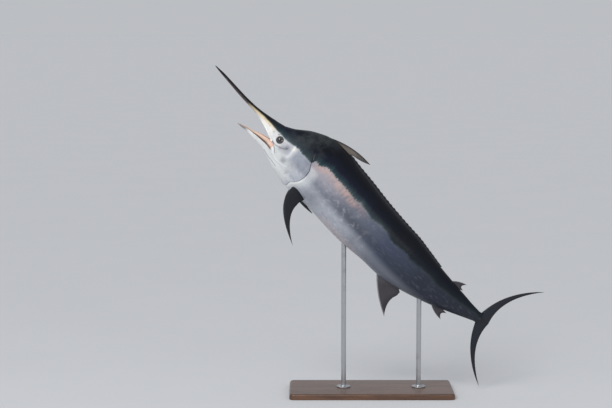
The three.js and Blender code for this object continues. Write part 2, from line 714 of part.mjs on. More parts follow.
for (const [side, rightSide] of [["left", -1], ["right", 1]]) {
  add(`pectoral_${side}`, grown(pectoral(rightSide)), "fin");
  add(`pelvic_${side}`, grown(pelvic(rightSide)), "fin");
  const { centre, turn } = eyeSeat(rightSide);
  const eye = new THREE.SphereGeometry(1, 16, 10).scale(EYE_RADIUS, EYE_BULGE, EYE_RADIUS);
  const mesh = add(`eye_${side}`, eye, "eye");
  mesh.position.copy(centre);
  mesh.quaternion.copy(turn);
}

add("stand_base", baseGeometry(), "base");
for (const [name, x] of Object.entries(ROD_PLACES)) {
  const rod = rodGeometry(ROD_REACH).translate(x, 0, BASE.thickness + GAP);
  add(`stand_rod_${name}`, grown(rod), "rod");
}

const size = new THREE.Box3().setFromObject(marlin);
const middle = size.getCenter(new THREE.Vector3());
marlin.position.set(-middle.x, -middle.y, -size.min.z);

export default marlin;
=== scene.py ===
import bmesh
import bpy
import numpy as np
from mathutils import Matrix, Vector


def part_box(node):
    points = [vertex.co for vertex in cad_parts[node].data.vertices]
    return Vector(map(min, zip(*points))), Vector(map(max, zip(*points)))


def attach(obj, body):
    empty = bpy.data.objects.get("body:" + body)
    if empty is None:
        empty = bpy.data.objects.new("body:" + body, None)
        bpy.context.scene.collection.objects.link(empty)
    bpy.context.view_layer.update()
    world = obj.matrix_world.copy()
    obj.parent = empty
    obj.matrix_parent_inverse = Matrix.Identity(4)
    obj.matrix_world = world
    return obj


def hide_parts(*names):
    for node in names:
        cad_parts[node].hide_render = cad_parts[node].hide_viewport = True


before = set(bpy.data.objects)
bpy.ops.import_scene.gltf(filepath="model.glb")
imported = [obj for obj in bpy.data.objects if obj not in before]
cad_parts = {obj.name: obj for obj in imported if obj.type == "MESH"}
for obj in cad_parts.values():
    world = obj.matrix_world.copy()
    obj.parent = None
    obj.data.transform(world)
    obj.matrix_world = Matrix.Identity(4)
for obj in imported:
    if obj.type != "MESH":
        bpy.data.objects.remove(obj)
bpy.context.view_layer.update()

# The skin of the whole fish, from the tips of both jaws to the root of the tail. The model maker
# casts it in one piece of filled resin with the mouth's lining and the throat, then paints it in
# thin coats, silver below and near black above, and varnishes it so that it looks wet.

# in metres and degrees
MM = 0.001
FORK_LENGTH = 2.8
LENGTH_MM = FORK_LENGTH * 1000.0
EYE_ABOVE_FLOOR = 2.259
BASE_BEHIND_EYE = 0.022
AXIS_SLOPE = 48.1
TAIL_LIFT = 14.0
TAIL_SWING = 7.0
FLANK_FULLNESS = 0.88

# places along the fish, as shares of its fork length behind the tip of the lower jaw
MOUTH_CORNER = 0.112
EYE_PLACE = 0.13
JAW_BONE_END = 0.1485
SHOULDER = 0.3
LIFT_SPAN = (0.58, 0.85)
SWING_SPAN = (0.6, 1.0)
KEEL_SPAN = (0.915, 0.995)
BODY_END = 0.968

# place, then in millimetres above the axis: back, belly, widest line; half width
BODY = [
    [0.112, 35, -245, -105, 82], [0.124, 54, -251, -102, 93], [0.137, 78, -262, -94, 103],
    [0.151, 112, -272, -84, 114], [0.173, 166, -287, -66, 129], [0.198, 211, -296, -47, 144],
    [0.223, 248, -305, -34, 156], [0.26, 275, -312, -22, 170], [0.3, 280, -300, -15, 180],
    [0.35, 271, -287, -10, 186], [0.42, 262, -287, -6, 184], [0.47, 252, -283, -4, 177],
    [0.52, 246, -268, -2, 167], [0.58, 243, -245, 0, 152], [0.63, 243, -236, 0, 138],
    [0.7, 221, -203, 0, 115], [0.76, 186, -167, 0, 93], [0.82, 145, -134, 0, 72],
    [0.88, 101, -97, 0, 50], [0.92, 70, -71, 0, 36], [0.945, 54, -55, 0, 29],
    [0.956, 48, -49, 0, 26], [0.968, 55, -55, 0, 22],
]
# place, and how much narrower the back is than an oval's
BACK_RIDGE = [[0.112, 0.05], [0.16, 0.2], [0.26, 0.3], [0.45, 0.22], [0.7, 0.12], [0.968, 0.05]]

# place; levels of the top, the lip, the widest line; half width; closed underside; palate's rise
BILL = [
    [-0.168, -62, -67, -64.5, 3.5, -68, -1], [-0.155, -58, -71, -64, 8, -72, -1],
    [-0.134, -52, -73, -63, 12, -75, -2], [-0.1, -50, -75, -63, 14.5, -78, -3],
    [-0.05, -48.5, -79, -64, 18, -82, -3], [0, -40, -78, -60, 23.5, -82, -2],
    [0.03, -27, -82, -57, 31, -88, 1], [0.055, -11, -93, -55, 42, -108, 7],
    [0.075, 3, -105, -64, 53, -140, 15], [0.094, 17, -122, -82, 67, -190, 23],
    [0.112, 35, -138, -105, 82, -245, 30],
]
# place; levels of the gum's edge, the lip, the chin's underside; half width; mouth's floor
LOWER_JAW = [
    [0.007, -248, -250, -255, 4, -250], [0.02, -233, -235, -253, 12, -240],
    [0.037, -214, -219, -245, 20, -226], [0.057, -196, -210, -244, 31, -218],
    [0.075, -172, -202, -244, 42, -213], [0.094, -154, -195, -244, 55, -209],
    [0.112, -140, -187, -245, 68, -206],
]
JAW_TIP_LEVEL = -252.0
TIP_REACH = 0.0015

# edges of the cheek and of the gill cover: degrees round the body (0 widest, 90 back), place
CHEEK_EDGE = [
    [-90, 0.15], [-50, 0.157], [-42, 0.172], [-38, 0.195], [-33, 0.204], [-16, 0.191],
    [-5, 0.184], [10, 0.181], [25, 0.173], [90, 0.166],
]
GILL_EDGE = [
    [-90, 0.236], [-70, 0.244], [-54, 0.243], [-42, 0.253], [-32, 0.2595], [-21, 0.2615],
    [-9, 0.258], [0, 0.248], [10, 0.237], [25, 0.229], [90, 0.226],
]
# lower edge of the upper jaw's end bone and line of the lower lip: place, degrees
JAW_BONE_EDGE = [
    [0.112, -13.6], [0.121, -14.5], [0.13, -19], [0.139, -25.5], [0.1475, -32.2], [0.2, -30],
    [0.3, -24], [0.968, -20],
]
LIP_LINE = [[0.112, -35.9], [0.13, -36.6], [0.1475, -41], [0.2, -46], [0.3, -48], [0.968, -45]]

# forms in the skin, in millimetres
CHEEK_LIFT = 4.0
CHEEK_STEP = 14.0
GILL_COVER_LIFT = 5.0
GILL_SLIT_WIDTH = 8.0
KEEL_HEIGHT = 11.0
THROAT_RIB_HEIGHT = 1.1
DORSAL_GROOVE_DEPTH = 4.0
GUM_GROOVE_DEPTH = 3.0
LIP_ROLL = 3.0
PALATE_LIP = 4.0
JAW_LIP_SWELL = 2.2
JAW_LIP_BELOW = 2.0
JAW_LIP_WIDTH = 6.0
TONGUE_HEIGHT = 9.0
THROAT_LEVEL = -168.0
# across the gill slit: share of its width, millimetres that the skin is lifted
GILL_SLIT = [[0.0, 5.0], [0.06, 3.8], [0.2, -3.5], [0.5, -4.5], [0.78, -2.5], [1.0, 0.0]]

# more of those forms in degrees round the body, with the ribs as waves in a radian
KEEL_ANGLE = 17.0
KEEL_SPREAD = 7.0
DORSAL_GROOVE_WIDTH = 3.0
LIP_ROLL_ANGLE = 5.0
THROAT_RIBS = 42.0

# and as shares: of a width, of the wall's height, of the throat's length, and for the throat's
# reach of the fork length
GUM_SHARE = 0.8
GUM_GROOVE_AT = 0.82
GUM_GROOVE_WIDTH = 0.1
PALATE_LIP_WIDTH = 0.16
TONGUE_WIDTH = 0.34
THROAT_NECK = 0.8
THROAT_NECK_AT = 0.35
THROAT_REACH = 0.042

# where those forms come in and go out again, as places or as angles
THROAT_RIB_SPAN = (0.15, 0.17, 0.215, 0.235)
THROAT_RIB_ANGLES = (-88.0, -80.0, -58.0, -50.0)
CHEEK_LIFT_RUN = 0.03
CHEEK_LIFT_ANGLES = (-52.0, -40.0)
LIFT_END_ANGLES = (2.0, 26.0)
DORSAL_GROOVE_SPAN = (0.303, 0.312, 0.75, 0.77)
HEAD_RELIEF_END = (0.262, 0.266)
BILL_RELIEF_SPAN = (0.06, 0.1)
BILL_RIDGE_FROM = 0.06
BILL_JOINED_FROM = 0.085
LIP_ROLL_SPAN = (0.0, 0.06)
PALATE_LIP_SPAN = (0.0, 0.05)
JAW_LIP_SPAN = (0.01, 0.04, 0.09, MOUTH_CORNER)
JAW_GROOVE_SPAN = (0.01, 0.05)
JAW_JOINED_FROM = 0.075
TONGUE_SPAN = (0.035, 0.08)

# powers that bend a straight blend: the wall in the mouth's corner, a jaw's rows, the floor's sides
CORNER_POWER = 1.2
JAW_ROW_POWER = 1.1
FLOOR_POWER = 2.5

# how finely the skin is worked: columns of one flank above the mouth, beside it and below it,
# rows from the mouth's corner to the tail, and those of the jaws
BACK_COLUMNS = 58
WALL_COLUMNS = 10
CHIN_COLUMNS = 24
PALATE_COLUMNS = 24
LINING_COLUMNS = 36
CHEEK_ROWS = 52
COVER_ROWS = 50
SLIT_ROWS = [0.06, 0.2, 0.35, 0.5, 0.65, 0.78, 0.9, 1.0]
SHOULDER_ROWS = 14
TRUNK_ROWS = 160
BILL_ROWS = 112
JAW_ROWS = 66
THROAT_ROWS = 13

# rounds in which the angles of a row settle; for the bend where a jaw meets the head its rows and
# rounds, the share of the rows that is eased in full, and the columns over which it fades
SETTLING_ROUNDS = 12
JOINT_ROWS = 9
JOINT_ROUNDS = 40
JOINT_CORE = 0.2
FIXED_REACH = 4.0

# the sine beyond which an angle counts as the middle, and steps of place and angle beside the eye
MIDDLE_SINE = 0.999
SEAT_STEP = 0.001
SEAT_TURN = 0.06


def ease(low, high, x):
    """0 up to low, 1 from high on, and a smooth S between them."""
    part = np.clip((x - low) / (high - low), 0.0, 1.0)
    return part * part * (3.0 - 2.0 * part)


def between(start, full, falling, gone, x):
    """A rise from start to full times a fall from falling to gone, each a smooth S."""
    return ease(start, full, x) * (1.0 - ease(falling, gone, x))


def bell(distance, width):
    """1 on a line, falling off smoothly over the width."""
    return np.exp(-((distance / width) ** 2))


def mix(a, b, part):
    """The straight blend from a to b."""
    return a + (b - a) * part


def through(rows, column=1):
    """A smooth curve through a table, as a function of its first column. Each span is a cubic
    whose slope at a row is the harmonic mean of the rises on either side, so that the curve
    never swings past a row."""
    table = np.array(rows, float)
    x = table[:, 0]
    y = table[:, column]
    rise = np.diff(y) / np.diff(x)
    product = rise[:-1] * rise[1:]
    total = np.where(product > 0, rise[:-1] + rise[1:], 1.0)
    slope = np.concatenate([rise[:1], np.where(product > 0, 2 * product / total, 0.0), rise[-1:]])

    def at(place):
        inside = np.clip(place, x[0], x[-1])
        i = np.clip(np.searchsorted(x, inside, side="right") - 1, 0, len(x) - 2)
        span = x[i + 1] - x[i]
        p = (inside - x[i]) / span
        q = 1.0 - p
        start = y[i] * (1 + 2 * p) * q * q + slope[i] * span * p * q * q
        return start + y[i + 1] * (1 + 2 * q) * p * p - slope[i + 1] * span * q * p * p

    return at


body_top, body_bottom, body_widest, body_half = [through(BODY, k) for k in (1, 2, 3, 4)]
back_ridge = through(BACK_RIDGE)
cheek_edge = through(CHEEK_EDGE)
gill_edge = through(GILL_EDGE)
slit_depth = through(GILL_SLIT)
jaw_bone_edge = through(JAW_BONE_EDGE)
lip_line = through(LIP_LINE)


def heading(place):
    """Unit vectors towards the tail, up through the back and out through the right flank. The
    axis slopes by one angle up to the middle of the trunk, then lifts and swings to the tail."""
    slope = np.radians(AXIS_SLOPE - TAIL_LIFT * ease(*LIFT_SPAN, place))
    swing = np.radians(TAIL_SWING * ease(*SWING_SPAN, place))
    along = np.stack([np.cos(slope) * np.cos(swing), np.sin(swing), -np.sin(slope) * np.cos(swing)], -1)
    back = np.stack([np.sin(slope), np.zeros_like(slope), np.cos(slope)], -1)
    return along, back, np.cross(back, along)


stations = np.linspace(-0.2, 1.2, 1401)
steps = heading((stations[:-1] + stations[1:]) / 2)[0] * np.diff(stations)[:, None] * FORK_LENGTH
spine = np.vstack([np.zeros(3), np.cumsum(steps, axis=0)])
base_low, base_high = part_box("stand_base")
eye_in_room = np.array([base_low.x - BASE_BEHIND_EYE, (base_low.y + base_high.y) / 2, EYE_ABOVE_FLOOR])


def axis_point(place):
    """The point of the axis at a place: the sum of short steps along the heading."""
    return np.stack([np.interp(place, stations, spine[:, k]) for k in range(3)], -1)


def put(place, level, aside):
    """A point of the fish in the room: along the axis to the place, up by the level and out by
    the side offset, both in millimetres."""
    place, level, aside = np.broadcast_arrays(place, level, aside)
    _, back, side = heading(place)
    point = axis_point(place) - axis_point(np.array(EYE_PLACE)) + eye_in_room
    return point + MM * (back * level[..., None] + side * aside[..., None])


def oval(widest, top, bottom, half, ridge, degrees):
    """Level and half width of an oval at an angle round it. Its sides are fuller than those of
    an ellipse, and its back is narrower by the share ridge."""
    turn = np.radians(degrees)
    up = np.sin(turn)
    level = widest + np.where(up > 0, top - widest, widest - bottom) * up
    return level, half * np.abs(np.cos(turn)) ** FLANK_FULLNESS * (1.0 - ridge * np.maximum(0.0, up) ** 2)


def keel_height(place, degrees):
    """Two low rounded ridges beside the root of the tail, each a bell curve over the angle."""
    return KEEL_HEIGHT * ease(*KEEL_SPAN, place) * bell(np.abs(degrees) - KEEL_ANGLE, KEEL_SPREAD)


def body_section(place, degrees, grow):
    """Level and half width of the skin at an angle round the body: an oval that is moved out by
    grow, and the keels, which leave the middle of the back and of the belly alone."""
    level, half = oval(
        body_widest(place), body_top(place) + grow, body_bottom(place) - grow,
        body_half(place) + grow, back_ridge(place), degrees)
    off_middle = np.abs(np.sin(np.radians(degrees))) < MIDDLE_SINE
    return level, half + np.where(off_middle, keel_height(place, degrees), 0.0)


def spot_distance(place, level, spot_place, spot_level):
    """Millimetres from points of the flank to a spot on it."""
    return np.hypot((place - spot_place) * LENGTH_MM, level - spot_level)


def line_distance(place, level, line):
    """Millimetres from points of the flank to a drawn line, which is a row of (place, level)."""
    x = place * LENGTH_MM
    points = np.array(line, float) * [LENGTH_MM, 1.0]
    nearest = np.inf
    for (ax, ay), (bx, by) in zip(points[:-1], points[1:]):
        length = (bx - ax) ** 2 + (by - ay) ** 2
        part = np.clip(((x - ax) * (bx - ax) + (level - ay) * (by - ay)) / length, 0.0, 1.0)
        nearest = np.minimum(nearest, np.hypot(x - ax - part * (bx - ax), level - ay - part * (by - ay)))
    return nearest


def spots(place, level, table):
    """The sum of a bell curve round each spot of a table: place, level, width, height."""
    return sum(
        height * bell(spot_distance(place, level, spot_place, spot_level), width)
        for spot_place, spot_level, width, height in table)


def lines(place, level, table):
    """The sum of a bell curve across each line of a table: the line, width, height."""
    return sum(height * bell(line_distance(place, level, line), width) for line, width, height in table)


# lines and spots in the skin of the head: place, level; and the nostrils' width
UNDER_EYE_LINE = [[0.117, -134], [0.133, -131], [0.1494, -115], [0.16, -97], [0.1661, -76]]
CHEEK_RIDGE = [[0.178, -12], [0.183, -60], [0.1845, -100], [0.183, -128]]
LOWER_CHEEK_ARC = [[0.152, -212], [0.164, -214], [0.18, -211], [0.1925, -205], [0.2046, -188]]
THROAT_LINE = [[0.119, -236], [0.14, -247], [0.16, -249], [0.18, -255]]
JAW_BONE_LINE = [[0.094, -98], [0.112, -108], [0.128, -122], [0.14, -148], [0.148, -178]]
JAW_BONE_CREASE = [[0.117, -128], [0.1266, -143], [0.138, -160], [0.147, -182]]
JAW_BONE_RIDGE = [[0.112, -134], [0.125, -152], [0.136, -170], [0.1446, -193]]
NOSTRILS = [[0.1145, -54.0, 4.0], [0.118, -46.0, 5.0]]
EYE_LEVEL = -76.0

# how wide and how high the lines stand in the skin, in millimetres
RELIEF_LINES = [
    [UNDER_EYE_LINE, 3.2, -1.6], [CHEEK_RIDGE, 9.0, 1.6], [LOWER_CHEEK_ARC, 6.0, 2.2],
    [THROAT_LINE, 3.0, -2.4], [JAW_BONE_LINE, 9.0, 2.2], [JAW_BONE_CREASE, 3.5, -1.8],
]
RELIEF_SPOTS = [[place, level, 2.0 * width, 1.2] for place, level, width in NOSTRILS]
RELIEF_SPOTS += [[place, level, width, -6.0] for place, level, width in NOSTRILS]
# round the eye: distance from its middle, width and height of the rim; the socket's floor, its
# edge and its depth
EYE_RIM = [39.5, 4.0, 2.6]
EYE_SOCKET = [27.0, 35.0, 12.0]


def bone_relief(place, level):
    """How far the bones, folds and nostrils of the head stand above the plain section, in
    millimetres: a sum of bell curves across the drawn lines and round the spots."""
    return lines(place, level, RELIEF_LINES) + spots(place, level, RELIEF_SPOTS)


def throat_ribs(place, degrees):
    """The bony rays in the throat's skin: a wave over the angle, faded in and out."""
    ribs = THROAT_RIB_HEIGHT * np.sin(np.radians(degrees) * THROAT_RIBS)
    return ribs * between(*THROAT_RIB_SPAN, place) * between(*THROAT_RIB_ANGLES, degrees)


# Columns run from the back down one flank to the belly: above the mouth, the wall between the
# jaws, the chin. Rows follow the edges of the cheek and of the gill cover.
COLUMNS = BACK_COLUMNS + WALL_COLUMNS + CHIN_COLUMNS + 2
LIP_COLUMN = BACK_COLUMNS + 1 + WALL_COLUMNS
ABOVE_MOUTH = slice(0, BACK_COLUMNS + 1)
BELOW_MOUTH = slice(BACK_COLUMNS + 1, COLUMNS)
column = np.arange(COLUMNS)
share = np.concatenate([
    np.linspace(0.0, 1.0, BACK_COLUMNS + 1),
    np.linspace(0.0, 1.0, WALL_COLUMNS + 1),
    np.linspace(0.0, 1.0, CHIN_COLUMNS + 1)[1:],
])
on_back = column <= BACK_COLUMNS
on_wall = (column > BACK_COLUMNS) & (column <= LIP_COLUMN)


def column_angles(place):
    """The angle of each column: evenly spread from the back to the edge of the jaw bone, from
    there to the lip, and from the lip to the belly."""
    bone = jaw_bone_edge(place)
    lip = lip_line(place)
    below = np.where(on_wall, mix(bone, lip, share), mix(lip, -90.0, share))
    return np.where(on_back, mix(90.0, bone, share), below)


def upright(place):
    """An edge that stands at one place all round the body."""
    return lambda degrees: place + 0.0 * degrees


def moved(edge, millimetres):
    """An edge moved towards the tail."""
    return lambda degrees: edge(degrees) + millimetres / LENGTH_MM


def settled_row(ahead, behind, part):
    """Places and angles of a row of the skin, part of the way from the edge ahead to the one
    behind. The row's place depends on the angle and the columns' angles on the place, so both
    are worked out in turn until they agree."""
    degrees = column_angles(np.full(COLUMNS, MOUTH_CORNER))
    for _ in range(SETTLING_ROUNDS):
        degrees = column_angles(mix(ahead(degrees), behind(degrees), part))
    return mix(ahead(degrees), behind(degrees), part), degrees


behind_slit = moved(gill_edge, GILL_SLIT_WIDTH)
cover_parts = np.linspace(0.0, 1.0, COVER_ROWS)
rows = [
    settled_row(ahead, behind, part)
    for ahead, behind, parts in [
        (upright(MOUTH_CORNER), cheek_edge, np.linspace(0.0, 1.0, CHEEK_ROWS)),
        (moved(cheek_edge, CHEEK_STEP), gill_edge, cover_parts),
        (gill_edge, behind_slit, SLIT_ROWS),
        (behind_slit, upright(SHOULDER), np.linspace(0.0, 1.0, SHOULDER_ROWS + 1)[1:]),
        (upright(SHOULDER), upright(BODY_END), np.linspace(0.0, 1.0, TRUNK_ROWS + 1)[1:]),
    ]
    for part in parts
]
skin_place, skin_degrees = np.stack(rows, axis=1)
cheek, cover, slit, _ = np.split(np.arange(len(rows)), np.cumsum([CHEEK_ROWS, COVER_ROWS, len(SLIT_ROWS)]))
skin_lift = np.zeros_like(skin_place)
skin_lift[cheek] = CHEEK_LIFT * ease(MOUTH_CORNER, MOUTH_CORNER + CHEEK_LIFT_RUN, skin_place[cheek])
skin_lift[cheek] *= ease(*CHEEK_LIFT_ANGLES, skin_degrees[cheek])
skin_lift[cover] = GILL_COVER_LIFT * cover_parts[:, None]
skin_lift[slit] = slit_depth(SLIT_ROWS)[:, None]
skin_lift *= 1.0 - ease(*LIFT_END_ANGLES, skin_degrees)
dorsal_groove = DORSAL_GROOVE_DEPTH * bell(90.0 - skin_degrees, DORSAL_GROOVE_WIDTH)
skin_lift -= dorsal_groove * between(*DORSAL_GROOVE_SPAN, skin_place)
bare_level, bare_half = body_section(skin_place, skin_degrees, 0.0)
head_detail = bone_relief(skin_place, bare_level) + throat_ribs(skin_place, skin_degrees)
skin_lift += head_detail * (1 - ease(*HEAD_RELIEF_END, skin_place))


def angle_at_level(place, level):
    """The angle round the body at which a level lies."""
    widest = body_widest(place)
    reach = np.where(level > widest, body_top(place) - widest, widest - body_bottom(place))
    return np.degrees(np.arcsin((level - widest) / reach))


def eye_seat(right_side):
    """Where an eye sits in the plain section, and the outward direction of the skin there."""
    degrees = angle_at_level(EYE_PLACE, EYE_LEVEL)
    place = EYE_PLACE + SEAT_STEP * np.array([0, 1, -1, 0, 0])
    level, half = body_section(place, degrees + SEAT_TURN * np.array([0, 0, 0, 1, -1]), 0.0)
    spot, behind, ahead, over, under = put(place, level, half * right_side)
    normal = np.cross(behind - ahead, over - under)
    normal = normal / np.linalg.norm(normal)
    return spot, normal * np.sign(normal[1]) * right_side


from_eye = np.linalg.norm(put(skin_place, bare_level, bare_half) - eye_seat(1)[0], axis=-1) / MM
rim_reach, rim_width, rim_height = EYE_RIM
socket_floor, socket_edge, socket_depth = EYE_SOCKET
skin_lift += rim_height * bell(from_eye - rim_reach, rim_width)
skin_lift -= socket_depth * (1 - ease(socket_floor, socket_edge, from_eye))
skin_level, skin_half = body_section(skin_place, skin_degrees, skin_lift)


def gum_groove(part):
    """The groove between gum and lip: a bell curve over the share of the wall's height."""
    return GUM_GROOVE_DEPTH * bell(part - GUM_GROOVE_AT, GUM_GROOVE_WIDTH)


# Under the end bone of the upper jaw the wall of the mouth's corner lies deeper than the flank.
in_corner = np.clip((JAW_BONE_END - skin_place) / (JAW_BONE_END - MOUTH_CORNER), 0.0, 1.0)
in_corner = in_corner ** CORNER_POWER
wall_half = skin_half[:, LIP_COLUMN][:, None] * mix(GUM_SHARE, 1.0, share)
wall_half = np.minimum(skin_half, wall_half) - gum_groove(share)
skin_half = np.where(on_wall, mix(skin_half, wall_half, in_corner), skin_half)


def both_flanks(values, sign=1.0):
    """Columns from the back down the right flank to the belly, and up the left one again."""
    return np.concatenate([values, sign * values[:, -2::-1]], axis=1)


def over_bill(values, sign=1.0):
    """Columns from the lip up the right side of the bill and down its left one."""
    return np.concatenate([values[:, ::-1], sign * values[:, 1:]], axis=1)


def eased_joint(ahead, behind, fixed_column):
    """Levels or half widths of two grids whose last and first rows are the same, with the
    bend between them eased: each row moves towards the middle of its neighbours again and
    again, less the further it is from the joint, and not at all at the fixed column."""
    rows_near = np.concatenate([ahead[-JOINT_ROWS - 1:-1], behind[:JOINT_ROWS + 1]])
    away = np.abs(np.arange(len(rows_near)) - JOINT_ROWS) / JOINT_ROWS
    from_fixed = np.abs(np.arange(ahead.shape[1]) - fixed_column % ahead.shape[1])
    share_moved = 0.5 * (1 - ease(JOINT_CORE, 1.0, away))[:, None] * ease(0.0, FIXED_REACH, from_fixed)
    for _ in range(JOINT_ROUNDS):
        pull = (rows_near[:-2] + rows_near[2:]) / 2 - rows_near[1:-1]
        rows_near[1:-1] += share_moved[1:-1] * pull
    ahead[-JOINT_ROWS - 1:] = rows_near[:JOINT_ROWS + 1]
    behind[:JOINT_ROWS + 1] = rows_near[JOINT_ROWS:]


def joined_jaw(level, aside, columns, part_in, fixed_column):
    """A jaw carried over into the head: moved by what it misses at the joint, the more the
    nearer to it, and then with the bend eased."""
    for jaw, head in ((level, skin_level), (aside, skin_half)):
        jaw += (head[0, columns] - jaw[-1]) * part_in
        eased_joint(jaw, head[:, columns], fixed_column)


def jaw_places(table, count):
    """The places of a jaw's rows, from its tip to the mouth's corner."""
    return mix(table[0][0], MOUTH_CORNER, np.linspace(0.0, 1.0, count) ** JAW_ROW_POWER)[:, None]


# The upper jaw with the bill carries the columns of the back on to its tip, and the palate
# closes it from lip to lip.
bill_place = jaw_places(BILL, BILL_ROWS)
bill_top, bill_lip, bill_widest, bill_half, bill_under, palate_rise = [
    through(BILL, k)(bill_place) for k in range(1, 7)]
lip_degrees = np.degrees(np.arcsin((bill_widest - bill_lip) / (bill_widest - bill_under)))
bill_degrees = mix(90.0, -lip_degrees, share[ABOVE_MOUTH])
bill_ridge = BACK_RIDGE[0][1] * ease(BILL_RIDGE_FROM, MOUTH_CORNER, bill_place)
bill_level, bill_aside = oval(bill_widest, bill_top, bill_under, bill_half, bill_ridge, bill_degrees)
lip_roll = LIP_ROLL * bell(bill_degrees + lip_degrees, LIP_ROLL_ANGLE)
bill_aside += lip_roll * ease(*LIP_ROLL_SPAN, bill_place)
bill_aside += bone_relief(bill_place, bill_level) * ease(*BILL_RELIEF_SPAN, bill_place)
bill_aside[:, 0] = 0.0
joined_jaw(bill_level, bill_aside, ABOVE_MOUTH, ease(BILL_JOINED_FROM, MOUTH_CORNER, bill_place), -1)
bill_points = put(bill_place, over_bill(bill_level), over_bill(bill_aside, -1.0))

across = np.linspace(1.0, -1.0, PALATE_COLUMNS + 1)
inner_lip = PALATE_LIP * ease(0.0, PALATE_LIP_WIDTH, 1.0 - np.abs(across))
inner_lip = inner_lip * ease(*PALATE_LIP_SPAN, bill_place)
palate_level = bill_level[:, -1:] + palate_rise * (1 - across ** 2) + inner_lip
palate_points = put(bill_place, palate_level, bill_aside[:, -1:] * across)
bill_tip = put(BILL[0][0] - TIP_REACH, BILL[0][3], 0.0)

# The lower jaw has the wall up to the gum outside, then the lining from gum to gum over the
# mouth's floor, with a low tongue along the middle.
jaw_place = jaw_places(LOWER_JAW, JAW_ROWS)
jaw_gum, jaw_lip, jaw_under, jaw_half, jaw_floor = [
    through(LOWER_JAW, k)(jaw_place) for k in range(1, 6)]
jaw_share = share[BELOW_MOUTH]
on_gum_wall = on_wall[BELOW_MOUTH]
turn = np.radians(90.0 * jaw_share)
jaw_level = np.where(on_gum_wall, mix(jaw_gum, jaw_lip, jaw_share), mix(jaw_lip, jaw_under, np.sin(turn)))
jaw_aside = jaw_half * np.where(on_gum_wall, mix(GUM_SHARE, 1.0, jaw_share), np.cos(turn))
lip_swell = JAW_LIP_SWELL * bell(jaw_level - jaw_lip + JAW_LIP_BELOW, JAW_LIP_WIDTH)
jaw_aside += lip_swell * between(*JAW_LIP_SPAN, jaw_place)
jaw_aside -= gum_groove(jaw_share) * on_gum_wall * ease(*JAW_GROOVE_SPAN, jaw_place)
jaw_aside[:, -1] = 0.0
joined_jaw(jaw_level, jaw_aside, BELOW_MOUTH, ease(JAW_JOINED_FROM, MOUTH_CORNER, jaw_place), 0)
jaw_points = put(jaw_place, both_flanks(jaw_level), both_flanks(jaw_aside, -1.0))

lining_across = np.cos(np.linspace(0.0, np.pi, LINING_COLUMNS + 1))
lining_level = mix(jaw_floor, jaw_level[:, :1], np.abs(lining_across) ** FLOOR_POWER)
lining_level += TONGUE_HEIGHT * bell(lining_across, TONGUE_WIDTH) * ease(*TONGUE_SPAN, jaw_place)
lining_points = put(jaw_place, lining_level, jaw_aside[:, :1] * lining_across)
jaw_tip = put(LOWER_JAW[0][0] - TIP_REACH, JAW_TIP_LEVEL, 0.0)

# The throat runs on from the mouth's two linings and narrows to its blind end.
throat_ring = np.concatenate([palate_points[-1], lining_points[-1, ::-1], palate_points[-1, :1]])
throat_part = np.linspace(0.0, 1.0, THROAT_ROWS)[:, None]
throat_place = MOUTH_CORNER + THROAT_REACH * throat_part
throat_axis = put(throat_place, THROAT_LEVEL, 0.0)
throat_neck = mix(1.0, THROAT_NECK, ease(0.0, THROAT_NECK_AT, throat_part))
throat_width = np.cos(np.pi / 2 * throat_part) * throat_neck
throat_points = throat_axis + (throat_ring - throat_axis[0]) * throat_width[..., None]

all_place = both_flanks(skin_place)
all_level = both_flanks(skin_level)
all_half = both_flanks(skin_half, -1.0)
all_half[:, [0, COLUMNS - 1, -1]] = 0.0
skin_points = put(all_place, all_level, all_half)
tail_end = put(BODY_END, 0.0, 0.0)


def placed(name, data):
    """A new object at the origin, in the scene."""
    thing = bpy.data.objects.new(name, data)
    bpy.context.scene.collection.objects.link(thing)
    return thing


def grid_faces(start, rows, columns):
    """Four-cornered faces of a grid of points, whose first point has the number start."""
    first = start + np.arange(rows - 1)[:, None] * columns + np.arange(columns - 1)
    return np.stack([first, first + 1, first + columns + 1, first + columns], -1).reshape(-1, 4)


# in metres: points closer than this are one, and edges shorter than this are none
ONE_POINT = 2e-6
NO_LENGTH = 1e-7


def joined_mesh(name, grids, fields=None, sharp=40.0):
    """A mesh of several grids of points that share their borders. Points in one place become
    one, which also closes the poles, and then all faces are turned outward. Each field is a
    name and one array of numbers for each grid, kept in the mesh for its material."""
    faces = []
    start = 0
    for grid in grids:
        faces.append(grid_faces(start, grid.shape[0], grid.shape[1]))
        start += grid.shape[0] * grid.shape[1]
    mesh = bpy.data.meshes.new(name)
    points = np.concatenate([grid.reshape(-1, 3) for grid in grids])
    mesh.from_pydata(points.tolist(), [], np.concatenate(faces).tolist())
    for field, arrays in (fields or {}).items():
        values = [np.broadcast_to(v, g.shape[:2]).ravel() for v, g in zip(arrays, grids)]
        stored = mesh.attributes.new(field, "FLOAT", "POINT")
        stored.data.foreach_set("value", np.concatenate(values).astype(np.float32))
    work = bmesh.new()
    work.from_mesh(mesh)
    bmesh.ops.remove_doubles(work, verts=work.verts, dist=ONE_POINT)
    bmesh.ops.dissolve_degenerate(work, edges=work.edges, dist=NO_LENGTH)
    bmesh.ops.recalc_face_normals(work, faces=work.faces)
    if work.calc_volume(signed=True) < 0.0:
        bmesh.ops.reverse_faces(work, faces=work.faces)
    work.to_mesh(mesh)
    work.free()
    mesh.shade_smooth()
    mesh.set_sharp_from_angle(angle=np.radians(sharp))
    return placed(name, mesh)


